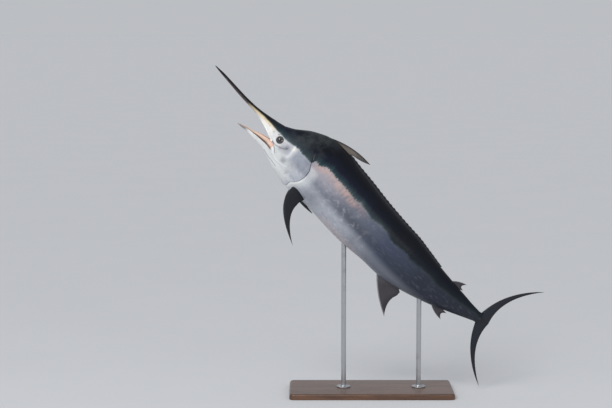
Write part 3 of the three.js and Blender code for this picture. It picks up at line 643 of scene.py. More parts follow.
# The border between the dark back and the silver flank: place, level
BORDER = [
    [-0.168, -76], [-0.12, -68], [-0.05, -68], [-0.01, -64], [0.0075, -58], [0.041, -46.6],
    [0.062, -43], [0.084, -39.7], [0.1035, -41.4], [0.1235, -38.8], [0.143, -35.4], [0.159, -27],
    [0.174, -13], [0.189, -7], [0.209, -8.6], [0.231, -6], [0.2455, -6], [0.2485, 36],
    [0.266, 40], [0.278, 57], [0.298, 75], [0.316, 67], [0.341, 71], [0.36, 73], [0.387, 73],
    [0.408, 66], [0.435, 75], [0.4645, 69], [0.49, 62], [0.513, 71], [0.5365, 79], [0.558, 74],
    [0.586, 59], [0.618, 65], [0.65, 75], [0.6755, 65], [0.7, 68], [0.76, 60], [0.786, 37],
    [0.85, 25], [0.92, 12], [0.968, 5],
]
FAR_BELOW_BORDER = -60.0
# painted lines of the head: line, width, strength; painted shade in its creases, then painted highlights
# on its ridges, along the lower cheek's arc and over the throat
SHADE_LINES = [[UNDER_EYE_LINE, 4.0, 0.75], [JAW_BONE_CREASE, 4.5, 0.85], [THROAT_LINE, 4.0, 0.6]]
HIGHLIGHT_LINES = [
    [LOWER_CHEEK_ARC, 9.0, 0.8], [CHEEK_RIDGE, 17.0, 0.85], [JAW_BONE_RIDGE, 8.0, 0.9],
    [THROAT_LINE, 24.0, 0.75],
]
# painted spots: place, level, width, strength. Painted shade in the nostrils and in a faint pit ahead of
# them, soft grey patches on the cheek, painted shade behind the breast fins, and a cream spot on the gill
# cover.
PIT_SHADE_SPOTS = [[place, level, 1.3 * width, 1.2] for place, level, width in NOSTRILS]
PIT_SHADE_SPOTS += [[0.0995, -68.0, 9.0, 0.6]]
GREY_PATCHES_AND_SHADE = [
    [0.162, -74, 26, 0.7], [0.15, -104, 34, 0.32], [0.182, -166, 26, 0.5], [0.215, -150, 40, 0.15],
    [0.325, -200, 80, 0.45], [0.505, -196, 60, 0.3],
]
CREAM_SPOT = [[0.1814, -36.0, 17.0, 1.0]]

# painted edges behind the gill cover, in millimetres from it: painted shade in the slit, the white rim and
# a wider painted sheen, with their strengths above and low on the cover, and where they end
LOW_COVER_ANGLES = (-38.0, -10.0)
SLIT_LINE_AT = 4.0
SLIT_LINE_WIDTH = 3.5
SLIT_LINE_STRENGTHS = (0.62, 0.12)
SLIT_LINE_ANGLES = (2.0, 16.0)
WHITE_RIM = (1.0, 8.0, 18.0, 44.0)
WHITE_RIM_STRENGTHS = (0.3, 0.95)
WHITE_RIM_ANGLES = (-4.0, 4.0)
SHEEN_BEHIND_COVER = (1.0, 8.0, 40.0, 110.0)
SHEEN_BEHIND_COVER_STRENGTH = 0.4
# the shine under the eye, in millimetres from its middle, and where the head's paint ends
EYE_SHINE_AT = 46.0
EYE_SHINE_WIDTH = 8.0
EYE_SHINE_STRENGTH = 0.75
EYE_SHINE_LEVELS = (-26.0, 4.0)
HEAD_PAINT_END = (0.24, 0.26)
# the painted shade in the lip's groove as shares of the wall's height, how far into the mouth's corner it
# and the lining come in, where the jaw's painted shade and the linings start, and how deep the mouth's
# colour is, deeper meaning redder and then darker with painted shade
CORNER_LINE_AT = 0.86
CORNER_LINE_WIDTH = 0.2
CORNER_LINE_IN = (0.15, 0.6)
CORNER_LINING_IN = (0.3, 0.6)
JAW_LINE_AT = 0.84
JAW_LINE_WIDTH = 0.26
JAW_LINE_SPAN = (0.01, 0.035)
PALATE_LINED = (0.0, 0.045)
FLOOR_LINED = (0.012, 0.03)
CORNER_DEPTH = 0.3
MOUTH_DEPTH = 0.1


def drawn(place, level):
    """The painted lines of the head at points of its flank: how strong their painted shade and their
    painted highlights are.
    """
    dark = lines(place, level, SHADE_LINES) + spots(place, level, PIT_SHADE_SPOTS)
    return dark, lines(place, level, HIGHLIGHT_LINES)


border = through(BORDER)
behind_edge = (skin_place - gill_edge(skin_degrees)) * LENGTH_MM
low_on_cover = 1 - ease(*LOW_COVER_ANGLES, skin_degrees)
# painted shade in the groove above the lip, in the mouth's corner
corner_groove_shade = bell(share - CORNER_LINE_AT, CORNER_LINE_WIDTH) * ease(*CORNER_LINE_IN, in_corner)
lip_groove_shade = np.where(on_wall, corner_groove_shade, 0.0)
# painted shade in the gill slit
slit_shade = bell(behind_edge - SLIT_LINE_AT, SLIT_LINE_WIDTH)
slit_shade *= (1.0 - ease(*SLIT_LINE_ANGLES, skin_degrees)) * mix(*SLIT_LINE_STRENGTHS, low_on_cover)
rim_behind = between(*WHITE_RIM, behind_edge) * mix(*WHITE_RIM_STRENGTHS, low_on_cover)
# the white rim and a wider painted sheen behind it
white_rim_and_sheen = np.maximum(rim_behind, SHEEN_BEHIND_COVER_STRENGTH * between(*SHEEN_BEHIND_COVER, behind_edge))
white_rim_and_sheen *= 1 - ease(*WHITE_RIM_ANGLES, skin_degrees)
# painted shade in the head's creases, nostrils and pit, and painted highlights on its ridges
head_shade, head_highlight = drawn(skin_place, skin_level)
eye_shine = EYE_SHINE_STRENGTH * bell(from_eye - EYE_SHINE_AT, EYE_SHINE_WIDTH)
head_highlight += eye_shine * (1 - ease(*EYE_SHINE_LEVELS, skin_level - EYE_LEVEL))
head_only = 1 - ease(*HEAD_PAINT_END, skin_place)
# the same painted shade and highlights on the bill and the lower jaw
bill_shade, bill_highlight = drawn(bill_place, bill_level)
jaw_shade, jaw_highlight = drawn(jaw_place, jaw_level)
# painted shade in the groove above the lower lip
jaw_groove_shade = bell(jaw_share - JAW_LINE_AT, JAW_LINE_WIDTH) * on_gum_wall
jaw_lip_shade = jaw_groove_shade * ease(*JAW_LINE_SPAN, jaw_place)
corner_lining = np.where(on_wall, ease(*CORNER_LINING_IN, in_corner), 0.0)
jaw_wall = np.where(on_gum_wall, 1.0, 0.0)[None, :]

# each sheet of the skin with the row in which it runs together, 0 first or -1 last, and the point
skin_sheets = [
    (skin_points, -1, tail_end), (bill_points, 0, bill_tip), (jaw_points, 0, jaw_tip),
    (palate_points, 0, bill_tip), (lining_points, 0, jaw_tip), (throat_points, None, None),
]
# what the paint needs to know, for each sheet in the same order, and 0 for those left out
skin_fields = {
    "place": [all_place, bill_place, jaw_place, bill_place, jaw_place, throat_place],
    "level": [
        all_level, over_bill(bill_level), both_flanks(jaw_level),
        palate_level, lining_level, THROAT_LEVEL],
    "over_border": [
        all_level - border(all_place), over_bill(bill_level) - border(bill_place),
        both_flanks(jaw_level) - border(jaw_place)] + 3 * [FAR_BELOW_BORDER],
    "lining": [
        both_flanks(corner_lining), 0.0, both_flanks(jaw_wall),
        ease(*PALATE_LINED, bill_place), ease(*FLOOR_LINED, jaw_place), 1.0],
    "depth": [
        both_flanks(CORNER_DEPTH * (1 - in_corner)), 0.0, 0.0,
        MOUTH_DEPTH, MOUTH_DEPTH, mix(MOUTH_DEPTH, 1.0, throat_part)],
    # painted shade with grey patches, then painted highlights
    "shade_and_grey": [
        both_flanks(head_shade * head_only + spots(skin_place, skin_level, GREY_PATCHES_AND_SHADE)),
        over_bill(bill_shade), both_flanks(jaw_shade)],
    "shine": [both_flanks(head_highlight * head_only), over_bill(bill_highlight), both_flanks(jaw_highlight)],
    "cream": [both_flanks(spots(skin_place, skin_level, CREAM_SPOT))],
    # painted shade in the lip's groove and in the gill slit
    "groove_shade": [both_flanks(np.maximum(lip_groove_shade, slit_shade)), 0.0, both_flanks(jaw_lip_shade)],
    # the white rim with a wider painted sheen
    "white_rim_and_sheen": [both_flanks(white_rim_and_sheen)],
}


def with_pole(values, row):
    """The rows with the first or the last one twice, for a sheet that gets a point there."""
    if row is None or np.ndim(values) == 0 or len(values) == 1:
        return values
    return np.insert(values, row % (len(values) + 1), values[row], axis=0)


grids = []
for points, row, pole in skin_sheets:
    grids.append(with_pole(points, row))
    if row is not None:
        grids[-1][row] = pole
for values in skin_fields.values():
    values += [0.0] * (len(skin_sheets) - len(values))
    values[:] = [with_pole(value, row) for value, (_, row, _) in zip(values, skin_sheets)]
skin = joined_mesh("skin", grids, skin_fields)


def paint(red, green, blue):
    """A colour as a screen gives it, 0 to 255, in the linear numbers that a shader takes."""
    seen = np.array([red, green, blue]) / 255.0
    linear = np.where(seen <= 0.04045, seen / 12.92, ((seen + 0.055) / 1.055) ** 2.4)
    return (*linear.tolist(), 1.0)


class Finish:
    """A material that gets its nodes one after another. Its methods take numbers and the outputs
    of other nodes alike, and give back the output of what they add."""

    def __init__(self, name, **sockets):
        self.material = bpy.data.materials.new(name)
        self.material.use_nodes = True
        self.tree = self.material.node_tree
        self.shader = self.tree.nodes["Principled BSDF"]
        self.give(**sockets)

    def join(self, node, socket, value):
        if isinstance(value, bpy.types.NodeSocket):
            self.tree.links.new(value, node.inputs[socket])
        else:
            node.inputs[socket].default_value = value

    def add(self, kind, output, inputs, **settings):
        node = self.tree.nodes.new(kind)
        for setting, value in settings.items():
            setattr(node, setting, value)
        for socket, value in inputs.items():
            self.join(node, socket, value)
        return node.outputs[output]

    def give(self, **sockets):
        """The shader's own sockets, with _ for each space in a name."""
        for socket, value in sockets.items():
            self.join(self.shader, socket.replace("_", " "), value)

    def field(self, name):
        return self.add("ShaderNodeAttribute", "Fac", {}, attribute_name=name)

    def room(self):
        return self.add("ShaderNodeTexCoord", "Object", {})

    def stretched(self, scale, turn=None):
        """The room's coordinates, turned where a turn is given, and then stretched."""
        room = self.room()
        if turn:
            room = self.add("ShaderNodeMapping", 0, {"Vector": room, "Rotation": turn})
        return self.add("ShaderNodeMapping", 0, {"Vector": room, "Scale": scale})

    def vector(self, x, y, z):
        return self.add("ShaderNodeCombineXYZ", 0, {0: x, 1: y, 2: z})

    def maths(self, how, result, *others):
        """All the values worked together, one after another."""
        for other in others:
            result = self.add("ShaderNodeMath", 0, {0: result, 1: other}, operation=how)
        return result

    def times(self, *values):
        return self.maths("MULTIPLY", *values)

    def plus(self, *values):
        return self.maths("ADD", *values)

    def rise(self, value, start, full):
        """0 at the start, 1 where it is full, and a smooth S between them."""
        inputs = {0: value, 1: start, 2: full}
        return self.add("ShaderNodeMapRange", 0, inputs, interpolation_type="SMOOTHSTEP")

    def spread(self, part, low, high):
        """The straight blend from low to high, for a part of 0 to 1."""
        return self.add("ShaderNodeMapRange", 0, {0: part, 3: low, 4: high})

    def noise(self, vector, scale, detail=3.0, roughness=0.55):
        inputs = {"Vector": vector, "Scale": scale, "Detail": detail, "Roughness": roughness}
        return self.add("ShaderNodeTexNoise", "Fac", inputs)

    def mixed(self, a, b, part):
        return self.add("ShaderNodeMix", 2, {0: part, 6: a, 7: b}, data_type="RGBA")

    def ramp(self, value, stops):
        """Colours along a value, each stop being the value and the colour as a screen gives it."""
        low, high = stops[0][0], stops[-1][0]
        part = self.add("ShaderNodeMapRange", 0, {0: value, 1: low, 2: high})
        colour = self.add("ShaderNodeValToRGB", "Color", {0: part})
        elements = colour.node.color_ramp.elements
        for _ in range(len(stops) - 2):
            elements.new(0.5)
        for element, (at, seen) in zip(elements, stops):
            element.position = (at - low) / (high - low)
            element.color = paint(*seen)
        return colour

    def coats(self, colour, layers):
        """Thin coats over a colour. Each has its paint, its strength, and what limits it: a value
        as it is, or a value with where the coat starts along it and where it is full."""
        for seen, strength, *limits in layers:
            parts = [self.rise(*limit) if isinstance(limit, tuple) else limit for limit in limits]
            over = paint(*seen) if isinstance(seen, tuple) else seen
            colour = self.mixed(colour, over, self.times(*parts, strength))
        return colour

    def bump(self, height, distance):
        inputs = {"Height": height, "Distance": distance, "Strength": 0.5}
        self.give(Normal=self.add("ShaderNodeBump", 0, inputs))


coat = Finish("skin_paint", Coat_Roughness=0.15)
place, level = coat.field("place"), coat.field("level")
fish_turn = (0.0, -np.radians(AXIS_SLOPE), 0.0)
along_skin = coat.stretched((1.0, 1.0, 1.0), fish_turn)
behind_head = coat.rise(place, 0.12, 0.26)
far_back = coat.rise(place, 0.42, 0.62)
near_back = coat.maths("SUBTRACT", 1.0, far_back)

# The border wanders in slow waves, and fine teeth cross it, longest on the front of the trunk.
waves = coat.maths("SUBTRACT", coat.noise(along_skin, 14.0, 5.0, 0.62), 0.5)
waves = coat.times(waves, coat.plus(10.0, coat.times(behind_head, 34.0)))
teeth = coat.noise(coat.stretched((1.0, 0.3, 0.24), fish_turn), 64.0, 4.0, 0.66)
teeth_high = coat.times(behind_head, coat.rise(place, 0.56, 0.4), 52.0)
ragged = coat.times(coat.maths("SUBTRACT", teeth, 0.5), coat.plus(teeth_high, 8.0))
over = coat.plus(coat.field("over_border"), coat.plus(waves, ragged))
below_border = coat.rise(over, 4.0, -10.0)

mottle = coat.noise(along_skin, 21.0, 6.0, 0.68)
low_flank = coat.rise(level, 40.0, -130.0)
streak = coat.noise(coat.stretched((0.22, 1.0, 1.0), fish_turn), 60.0, 3.0)
belly_silver = coat.mixed(paint(196, 201, 210), paint(232, 235, 232), coat.rise(place, 0.25, 0.2))
flank = coat.ramp(place, [
    (-0.17, (34, 26, 30)), (-0.02, (92, 74, 70)), (0.055, (250, 248, 242)), (0.2, (156, 160, 172)),
    (0.35, (126, 130, 142)), (0.58, (62, 70, 90)), (0.74, (30, 38, 54)), (0.968, (24, 28, 40)),
])
# the rosy band below the border, a paler blush under it, painted shade across the middle of the flank, the
# silver belly, the white throat, the belly's rosy keel, the buttery edge of the bill, pale flecks that are
# painted glints, stronger low on the flank, dull flecks, and fine streaks
flank = coat.coats(flank, [
    ((196, 160, 148), 0.9,
     (place, 0.235, 0.285), (place, 0.5, 0.36), (over, -95.0, -25.0), (teeth, 0.28, 0.56)),
    ((184, 176, 182), 0.45, (place, 0.25, 0.29), (place, 0.42, 0.32), (over, -175.0, -85.0)),
    # painted shade across the middle of the flank
    ((40, 44, 58), 0.38, (level, -135.0, -85.0), (level, -10.0, -70.0), (place, 0.32, 0.46)),
    (belly_silver, 1.0, (level, -95.0, -175.0), coat.plus(0.22, coat.times(near_back, 0.38))),
    ((240, 242, 240), 0.45, (level, -205.0, -250.0), (place, 0.26, 0.22)),
    ((196, 176, 176), 0.45, (level, -205.0, -260.0), (place, 0.36, 0.42), (place, 0.68, 0.5)),
    ((232, 208, 158), 0.8, (over, -34.0, -6.0), (place, 0.115, 0.07), (place, -0.03, 0.02)),
    # pale flecks: painted glints, stronger low on the flank
    ((226, 224, 228), 1.0, (mottle, 0.5, 0.78), near_back, coat.plus(0.16, coat.times(low_flank, 0.4))),
    ((96, 96, 110), 1.0, (mottle, 0.48, 0.25), coat.plus(0.15, coat.times(near_back, 0.25))),
    ((110, 112, 124), 0.3, (streak, 0.5, 0.8)),
])
back = coat.ramp(over, [
    (0.0, (68, 88, 88)), (16.0, (36, 54, 62)), (60.0, (14, 20, 36)),
    (130.0, (5, 7, 20)), (220.0, (3, 4, 14)),
])
# the darker rear, a painted grey-green sheen on the wet nape, and the near black top of the bill
nape_sheen_patches = coat.noise(along_skin, 9.0, 4.0)
back = coat.coats(back, [
    ((6, 10, 20), 0.75, far_back),
    # painted grey-green sheen on the nape
    ((58, 64, 66), 0.7, (place, 0.12, 0.17), (place, 0.29, 0.22), (nape_sheen_patches, 0.35, 0.7)),
    ((10, 9, 14), 1.0, (place, 0.13, 0.05)),
])
# the lining's pale pink and redder colour, darkened deeper in towards the throat's end by painted shade
lining_and_shade = coat.ramp(coat.field("depth"), [
    (0.0, (230, 196, 174)), (0.1, (226, 186, 162)), (0.3, (214, 124, 104)),
    (0.6, (110, 52, 46)), (1.0, (36, 14, 14)),
])
# over both: the lower jaw's brown tip, the white rim behind the gill cover with a wider painted sheen, the
# head's painted highlights, its painted shade and grey patches, its cream spot, the mouth's lining with
# painted shade deeper in, and painted shade in the lip's groove and in the gill slit
body = coat.coats(coat.mixed(flank, back, coat.rise(over, -9.0, 8.0)), [
    ((112, 92, 92), 0.75, (level, -150.0, -165.0), (place, 0.052, 0.026)),
    # the white rim with a wider painted sheen
    ((250, 252, 249), 0.85, coat.field("white_rim_and_sheen")),
    # painted highlights on the head's ridges, the throat and under the eye
    ((236, 238, 238), 0.75, coat.field("shine"), below_border),
    # painted shade in the head's creases, nostrils and pit, grey patches, and painted shade behind the
    # breast fins
    ((84, 84, 98), 0.8, coat.field("shade_and_grey"), below_border),
    ((236, 232, 214), 0.9, coat.field("cream"), below_border),
    # the mouth's lining, with painted shade deeper in
    (lining_and_shade, 1.0, (coat.field("lining"), 0.25, 0.75)),
    # painted shade in the lip's groove and in the gill slit
    ((30, 26, 32), 0.95, coat.field("groove_shade")),
])
on_back = coat.rise(over, -9.0, 30.0)
coat.give(Base_Color=body, Roughness=coat.spread(mottle, 0.3, 0.46))
coat.give(Specular_IOR_Level=coat.spread(on_back, 0.28, 0.14))
coat.give(Coat_Weight=coat.spread(on_back, 0.25, 0.12))
scales = coat.add("ShaderNodeTexVoronoi", "Distance", {
    "Vector": coat.stretched((0.3, 1.0, 1.0), fish_turn), "Scale": 210.0})
coat.bump(coat.plus(scales, coat.times(coat.noise(along_skin, 30.0, 4.0), 1.6)), 0.0012)
skin.data.materials.append(coat.material)
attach(skin, "root")
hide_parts("bill", "lower_jaw", "head", "torso_front", "torso_rear", "tail_base", "tail_stalk")

# The eyes are turned balls of clear acrylic, painted from behind with the pupil and the iris,
# and polished. Each is glued into its socket with a thin soft rim of skin around it.

# in millimetres, but the cornea's reach is a share of the radius and its fall a power
EYE_RADIUS = 37.0
EYE_BULGE = 20.0
EYE_SINK = 6.0
CORNEA_REACH = 0.56
CORNEA_RISE = 2.6
CORNEA_FALL = 1.5
EYE_RINGS = 72
EYE_AROUND = 96


def eye_ball(right_side):
    """A ball flattened along the outward direction, with a low dome in front of the iris, and
    the share of its radius and the direction round it at each point."""
    spot, outward = eye_seat(right_side)
    behind = np.cross(outward, [0.0, 0.0, 1.0])
    behind /= np.linalg.norm(behind)
    upward = np.cross(behind, outward)
    tilt = np.linspace(0.0, np.pi, EYE_RINGS + 1)[:, None]
    turn = np.linspace(0.0, 2 * np.pi, EYE_AROUND + 1)[None, :]
    in_front = tilt < np.pi / 2
    wide = np.sin(tilt)
    dome = np.clip(1.0 - (wide / CORNEA_REACH) ** 2, 0.0, 1.0) ** CORNEA_FALL * in_front
    out = EYE_BULGE * np.cos(tilt) + CORNEA_RISE * dome - EYE_SINK
    aside, over = wide * np.cos(turn), wide * np.sin(turn)
    round_it = behind * aside[..., None] + upward * over[..., None]
    points = spot + MM * (outward * out[..., None] + EYE_RADIUS * round_it)
    return points, np.where(in_front, wide, 2.0 - wide), aside, over


iris = Finish("eye_paint", Coat_Weight=1.0, Coat_Roughness=0.02, Roughness=0.18)
radius = iris.field("radius")
spokes = iris.noise(iris.vector(iris.field("spoke_x"), iris.field("spoke_y"), 0.0), 9.0, 6.0, 0.7)
ring = iris.plus(radius, iris.times(iris.maths("SUBTRACT", spokes, 0.5), 0.05))
eye_colour = iris.ramp(ring, [
    (0.0, (5, 6, 10)), (0.47, (8, 9, 14)), (0.49, (104, 97, 84)), (0.515, (60, 58, 60)),
    (0.66, (52, 54, 62)), (0.8, (26, 27, 34)), (0.87, (20, 20, 26)), (0.92, (196, 196, 194)),
    (1.0, (206, 204, 200)), (1.2, (120, 100, 96)),
])
iris.give(Base_Color=iris.coats(eye_colour, [
    ((104, 98, 92), 1.0, (spokes, 0.45, 0.8), (radius, 0.5, 0.56), (radius, 0.84, 0.7))]))
for side_name, right_side in (("left", -1), ("right", 1)):
    ball, eye_radius, spoke_x, spoke_y = eye_ball(right_side)
    eye = joined_mesh(f"eyeball_{side_name}", [ball], {
        "radius": [eye_radius], "spoke_x": [spoke_x], "spoke_y": [spoke_y]})
    eye.data.materials.append(iris.material)
    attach(eye, "root")
    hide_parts(f"eye_{side_name}")

# The fins that grow out of the back and the belly, the paired fins and the tail. Each is cast
# in tinted resin over a row of stiff rays, glued into a slot in the skin, and its fleshy root
# is blended with putty and painted with the skin.

# corners and bows as place, level, side; thicknesses, ridge, sunk and flare in millimetres
PLAIN_FIN = {"crowd": 1, "sunk": 0, "flare": 0, "heel_round": 0.0, "foot_bow": [0, 0, 0]}
DORSAL_LOBE = {
    "rays": 16, "rows": 84, "thick": 15, "thin": 3, "ridge": 1.3, "sunk": 12, "flare": 6,
    "heel_round": 0.3,
    "front": [0.206, 226, 0], "rear": [0.298, 262, 0], "tip": [0.3736, 354, 0],
    "heel": [0.3065, 291, 0], "bow": [-0.001, 40, 0], "hollow": [0.004, -8, 0],
}
SECOND_DORSAL = {
    "rays": 7, "rows": 48, "thick": 9, "thin": 2, "ridge": 0.9, "sunk": 6, "flare": 3,
    "front": [0.815, 120, 0], "rear": [0.842, 104, 0], "tip": [0.872, 182, 0],
    "heel": [0.873, 122, 0], "bow": [-0.002, 14, 0], "hollow": [-0.012, -8, 0],
}
FIRST_ANAL = {
    "rays": 14, "rows": 76, "thick": 13, "thin": 3, "ridge": 1.3, "sunk": -10, "flare": 5,
    "heel_round": 0.2,
    "front": [0.625, -215, 0], "rear": [0.7, -182, 0], "tip": [0.731, -464, 0],
    "heel": [0.726, -226, 0], "bow": [-0.003, -8, 0], "hollow": [-0.014, 14, 0],
}
SECOND_ANAL = {
    "rays": 7, "rows": 48, "thick": 9, "thin": 2, "ridge": 0.9, "sunk": -6, "flare": 3,
    "front": [0.808, -124, 0], "rear": [0.838, -106, 0], "tip": [0.866, -196, 0],
    "heel": [0.87, -124, 0], "bow": [-0.002, -14, 0], "hollow": [-0.012, 8, 0],
}
TAIL_LOBE = {
    "rays": 15, "rows": 100, "thick": 11, "thin": 2.4, "ridge": 1.1, "crowd": 0.9,
    "front": [0.962, 54, 0], "rear": [0.962, 0, 0], "tip": [1.092, 505, 0],
    "heel": [1, 0, 0], "bow": [-0.0165, 34, 0], "hollow": [-0.031, 4, 0],
}
# how much further forward, lower and straighter than the left one the right pectoral is held
RIGHT_PECTORAL_HELD = {"forward": 0.009, "down": 24.0, "straighter": 0.009}

# how the fins are worked: columns to a ray, powers that crowd the rays and fade the bow, and how
# fast the blade thins along a ray and across the rays
RAY_COLUMNS = 8
RAY_CROWD = 1.05
BOW_FALL = 1.3
THIN_ALONG = 1.15
THIN_ACROSS = 0.8
# shares of the way along a ray: where it forks, what its ridge loses, the flare of the root, the
# rounding of the foot and of the trailing edge, the scallops' depth, and the tail's root, which
# stands a little proud of the body
RAY_FORK = (0.45, 0.75)
RIDGE_LOSS = 0.7
FLARE_RUN = 0.22
ROOT_ROUND = 0.01
TRAIL_ROUND = 0.03
SCALLOP = 0.008
TAIL_ROOT_RUN = 0.2
TAIL_ROOT_PROUD = 1.05
# shares of the way across the rays: the front edge's rounding, where the faces' direction holds
# steady, where the scallops come in, and where the heel is rounded
EDGE_ROUND = 0.02
STEADY_FROM = 0.14
SCALLOP_SPAN = (0.02, 0.1)
HEEL_FROM = 0.8


def bowed(start, end, bow, part):
    """The line from start to end whose middle is pushed aside by bow, along a parabola."""
    return mix(start, end, part) + 4 * part * (1 - part) * bow


def pinch(part, width):
    """A quarter round that rises from 0 at the edge to 1 at the width."""
    return np.sqrt(np.clip(1.0 - (1.0 - np.clip(part / width, 0.0, 1.0)) ** 2, 0.0, 1.0))


def cut_corners(points):
    """The grid with the neighbour of each corner moved to it, so that no face lies folded flat."""
    points = points.copy()
    points[[1, -2], 0] = points[[0, -1], 0]
    points[[1, -2], -1] = points[[0, -1], -1]
    return points


def closed_edges(half):
    """Half thicknesses with nothing left along the four edges, where both faces meet."""
    half[:, [0, -1]] = 0.0
    half[[0, -1], :] = 0.0
    return half


def tail_root_half(level):
    """Half thickness of the tail's root: that of the body's section where it ends."""
    part = np.clip(np.abs(level) / body_top(BODY_END), 0.0, 1.0)
    degrees = np.degrees(np.arcsin(part))
    thickness = body_half(BODY_END) * np.cos(np.radians(degrees)) ** FLANK_FULLNESS
    return thickness + keel_height(BODY_END, degrees)


def fin_sheets(fin, tail=False):
    """Both faces of a fin. A ray runs from the foot line to the trailing edge along a bowed
    line, and the faces stand off it by the blade's half thickness and a rounded ridge on each
    ray, which forks in the outer half. All edges are pinched together. The tail is one sheet
    over both of its lobes, mirrored at the middle ray."""
    fin = {key: np.array(value, float) for key, value in (PLAIN_FIN | fin).items()}
    columns = RAY_COLUMNS * int(fin["rays"])
    u = np.linspace(0.0, 1.0, columns + 1) ** RAY_CROWD
    sign = np.ones(columns + 1)
    if tail:
        u = np.concatenate([u, u[-2::-1]])
        sign = np.concatenate([sign, -sign[1:]])
    u = u[:, None]
    v = np.linspace(0.0, 1.0, int(fin["rows"]) + 1)[None, :]
    wave = np.cos(2 * np.pi * fin["rays"] * u)
    forked = -np.cos(4 * np.pi * fin["rays"] * u)
    ray = 0.5 + 0.5 * mix(wave, forked, ease(*RAY_FORK, v))
    reach = v * (1.0 - SCALLOP * (1.0 - ray) * ease(*SCALLOP_SPAN, u))
    reach = reach * (1.0 - fin["heel_round"] * ease(HEEL_FROM, 1.0, u) ** 2)
    foot = bowed(fin["front"], fin["rear"], fin["foot_bow"], u) - [0.0, fin["sunk"], 0.0]
    end = bowed(fin["tip"], fin["heel"], fin["hollow"], u ** fin["crowd"])
    bow = fin["bow"] * (1 - u) ** BOW_FALL
    line = bowed(foot[:, None, :], end[:, None, :], bow[:, None, :], reach[..., None])
    middle = cut_corners(put(line[..., 0], line[..., 1] * sign[:, None], line[..., 2]))
    normal = np.cross(np.gradient(middle, axis=0), np.gradient(middle, axis=1))
    normal /= np.maximum(np.linalg.norm(normal, axis=-1, keepdims=True), 1e-12)
    steady = np.searchsorted(u[:columns + 1, 0], STEADY_FROM)
    normal[:steady] = normal[steady]
    thinned = np.clip(THIN_ALONG * np.maximum(v, THIN_ACROSS * u), 0.0, 1.0)
    half = mix(fin["thick"], fin["thin"], thinned) / 2 + fin["ridge"] * (1 - RIDGE_LOSS * v) * ray
    half = half + fin["flare"] * (1 - ease(0.0, FLARE_RUN, v))
    half = half * pinch(u, EDGE_ROUND)
    if tail:
        normal[-steady:] = normal[-steady - 1]
        root = TAIL_ROOT_PROUD * tail_root_half(line[..., 1]) * (1 - ease(0.0, TAIL_ROOT_RUN, v))
        half = np.maximum(half, root)
    else:
        half = half * pinch(1.0 - u, TRAIL_ROUND)
    half = closed_edges(half * pinch(1.0 - v, TRAIL_ROUND) * pinch(v, ROOT_ROUND))
    offset = MM * normal * half[..., None]
    return [middle + offset, middle - offset], u, v, ray


def fin_finish(name, blade, root, edge, ray_shade, front_edge=None, front_wide=0.09):
    """Tinted resin: the root's colour that runs into the blade's, a trailing edge and on some
    fins a front edge of its own, darker rays, clouds, and a fine grain along the rays."""
    finish = Finish(name, Coat_Weight=0.25, Coat_Roughness=0.15, Specular_IOR_Level=0.35)
    across, along = finish.field("across"), finish.field("along")
    grain = finish.noise(finish.vector(finish.times(across, 26.0), along, 0.0), 5.0, 5.0, 0.6)
    cloud = finish.noise(finish.room(), 13.0, 4.0, 0.6)
    trailing = finish.maths("MAXIMUM", finish.rise(along, 0.72, 1.0), finish.rise(across, 0.88, 1.0))
    layers = [(blade, 1.0, (along, 0.05, 0.4)), (edge, 0.8, trailing)]
    if front_edge:
        layers.append((front_edge, 1.0, (across, front_wide, 0.0)))
    layers += [
        (ray_shade, 0.5, (finish.field("ray"), 0.35, 0.9)),
        (edge, 0.35, (cloud, 0.45, 0.75)), (root, 0.4, (grain, 0.5, 0.8)),
    ]
    finish.give(Base_Color=finish.coats(paint(*root), layers), Roughness=finish.spread(grain, 0.3, 0.5))
    finish.bump(finish.plus(grain, cloud), 0.0008)
    return finish.material


def fin_piece(name, sheets, across, along, ray, finish, *nodes):
    """One fin in its finish, standing for its nodes."""
    fields = {"across": [across, across], "along": [along, along], "ray": [ray, ray]}
    fin = joined_mesh(name, sheets, fields, sharp=70.0)
    fin.data.materials.append(finish)
    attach(fin, "root")
    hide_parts(*nodes)


blue_black = fin_finish("fin_blue_black", (14, 17, 28), (18, 22, 32), (8, 9, 16), (9, 11, 20))
dorsal_tan = fin_finish(
    "fin_dorsal", (122, 112, 103), (52, 50, 54), (24, 25, 34), (60, 58, 62), (26, 26, 34), 0.24)
anal_brown = fin_finish(
    "fin_anal", (62, 58, 62), (92, 92, 100), (30, 28, 34), (40, 38, 44), (170, 168, 172))
tail_dark = fin_finish("fin_tail", (20, 25, 38), (34, 40, 54), (12, 13, 22), (14, 17, 28))
fin_piece("dorsal_lobe_fin", *fin_sheets(DORSAL_LOBE), dorsal_tan, "first_dorsal_lobe")
fin_piece("second_dorsal_fin", *fin_sheets(SECOND_DORSAL), anal_brown, "second_dorsal")
fin_piece("first_anal_fin", *fin_sheets(FIRST_ANAL), anal_brown, "first_anal")
fin_piece("second_anal_fin", *fin_sheets(SECOND_ANAL), anal_brown, "second_anal")
fin_piece("tail_fin", *fin_sheets(TAIL_LOBE, tail=True), tail_dark, "tail_fin_upper", "tail_fin_lower")

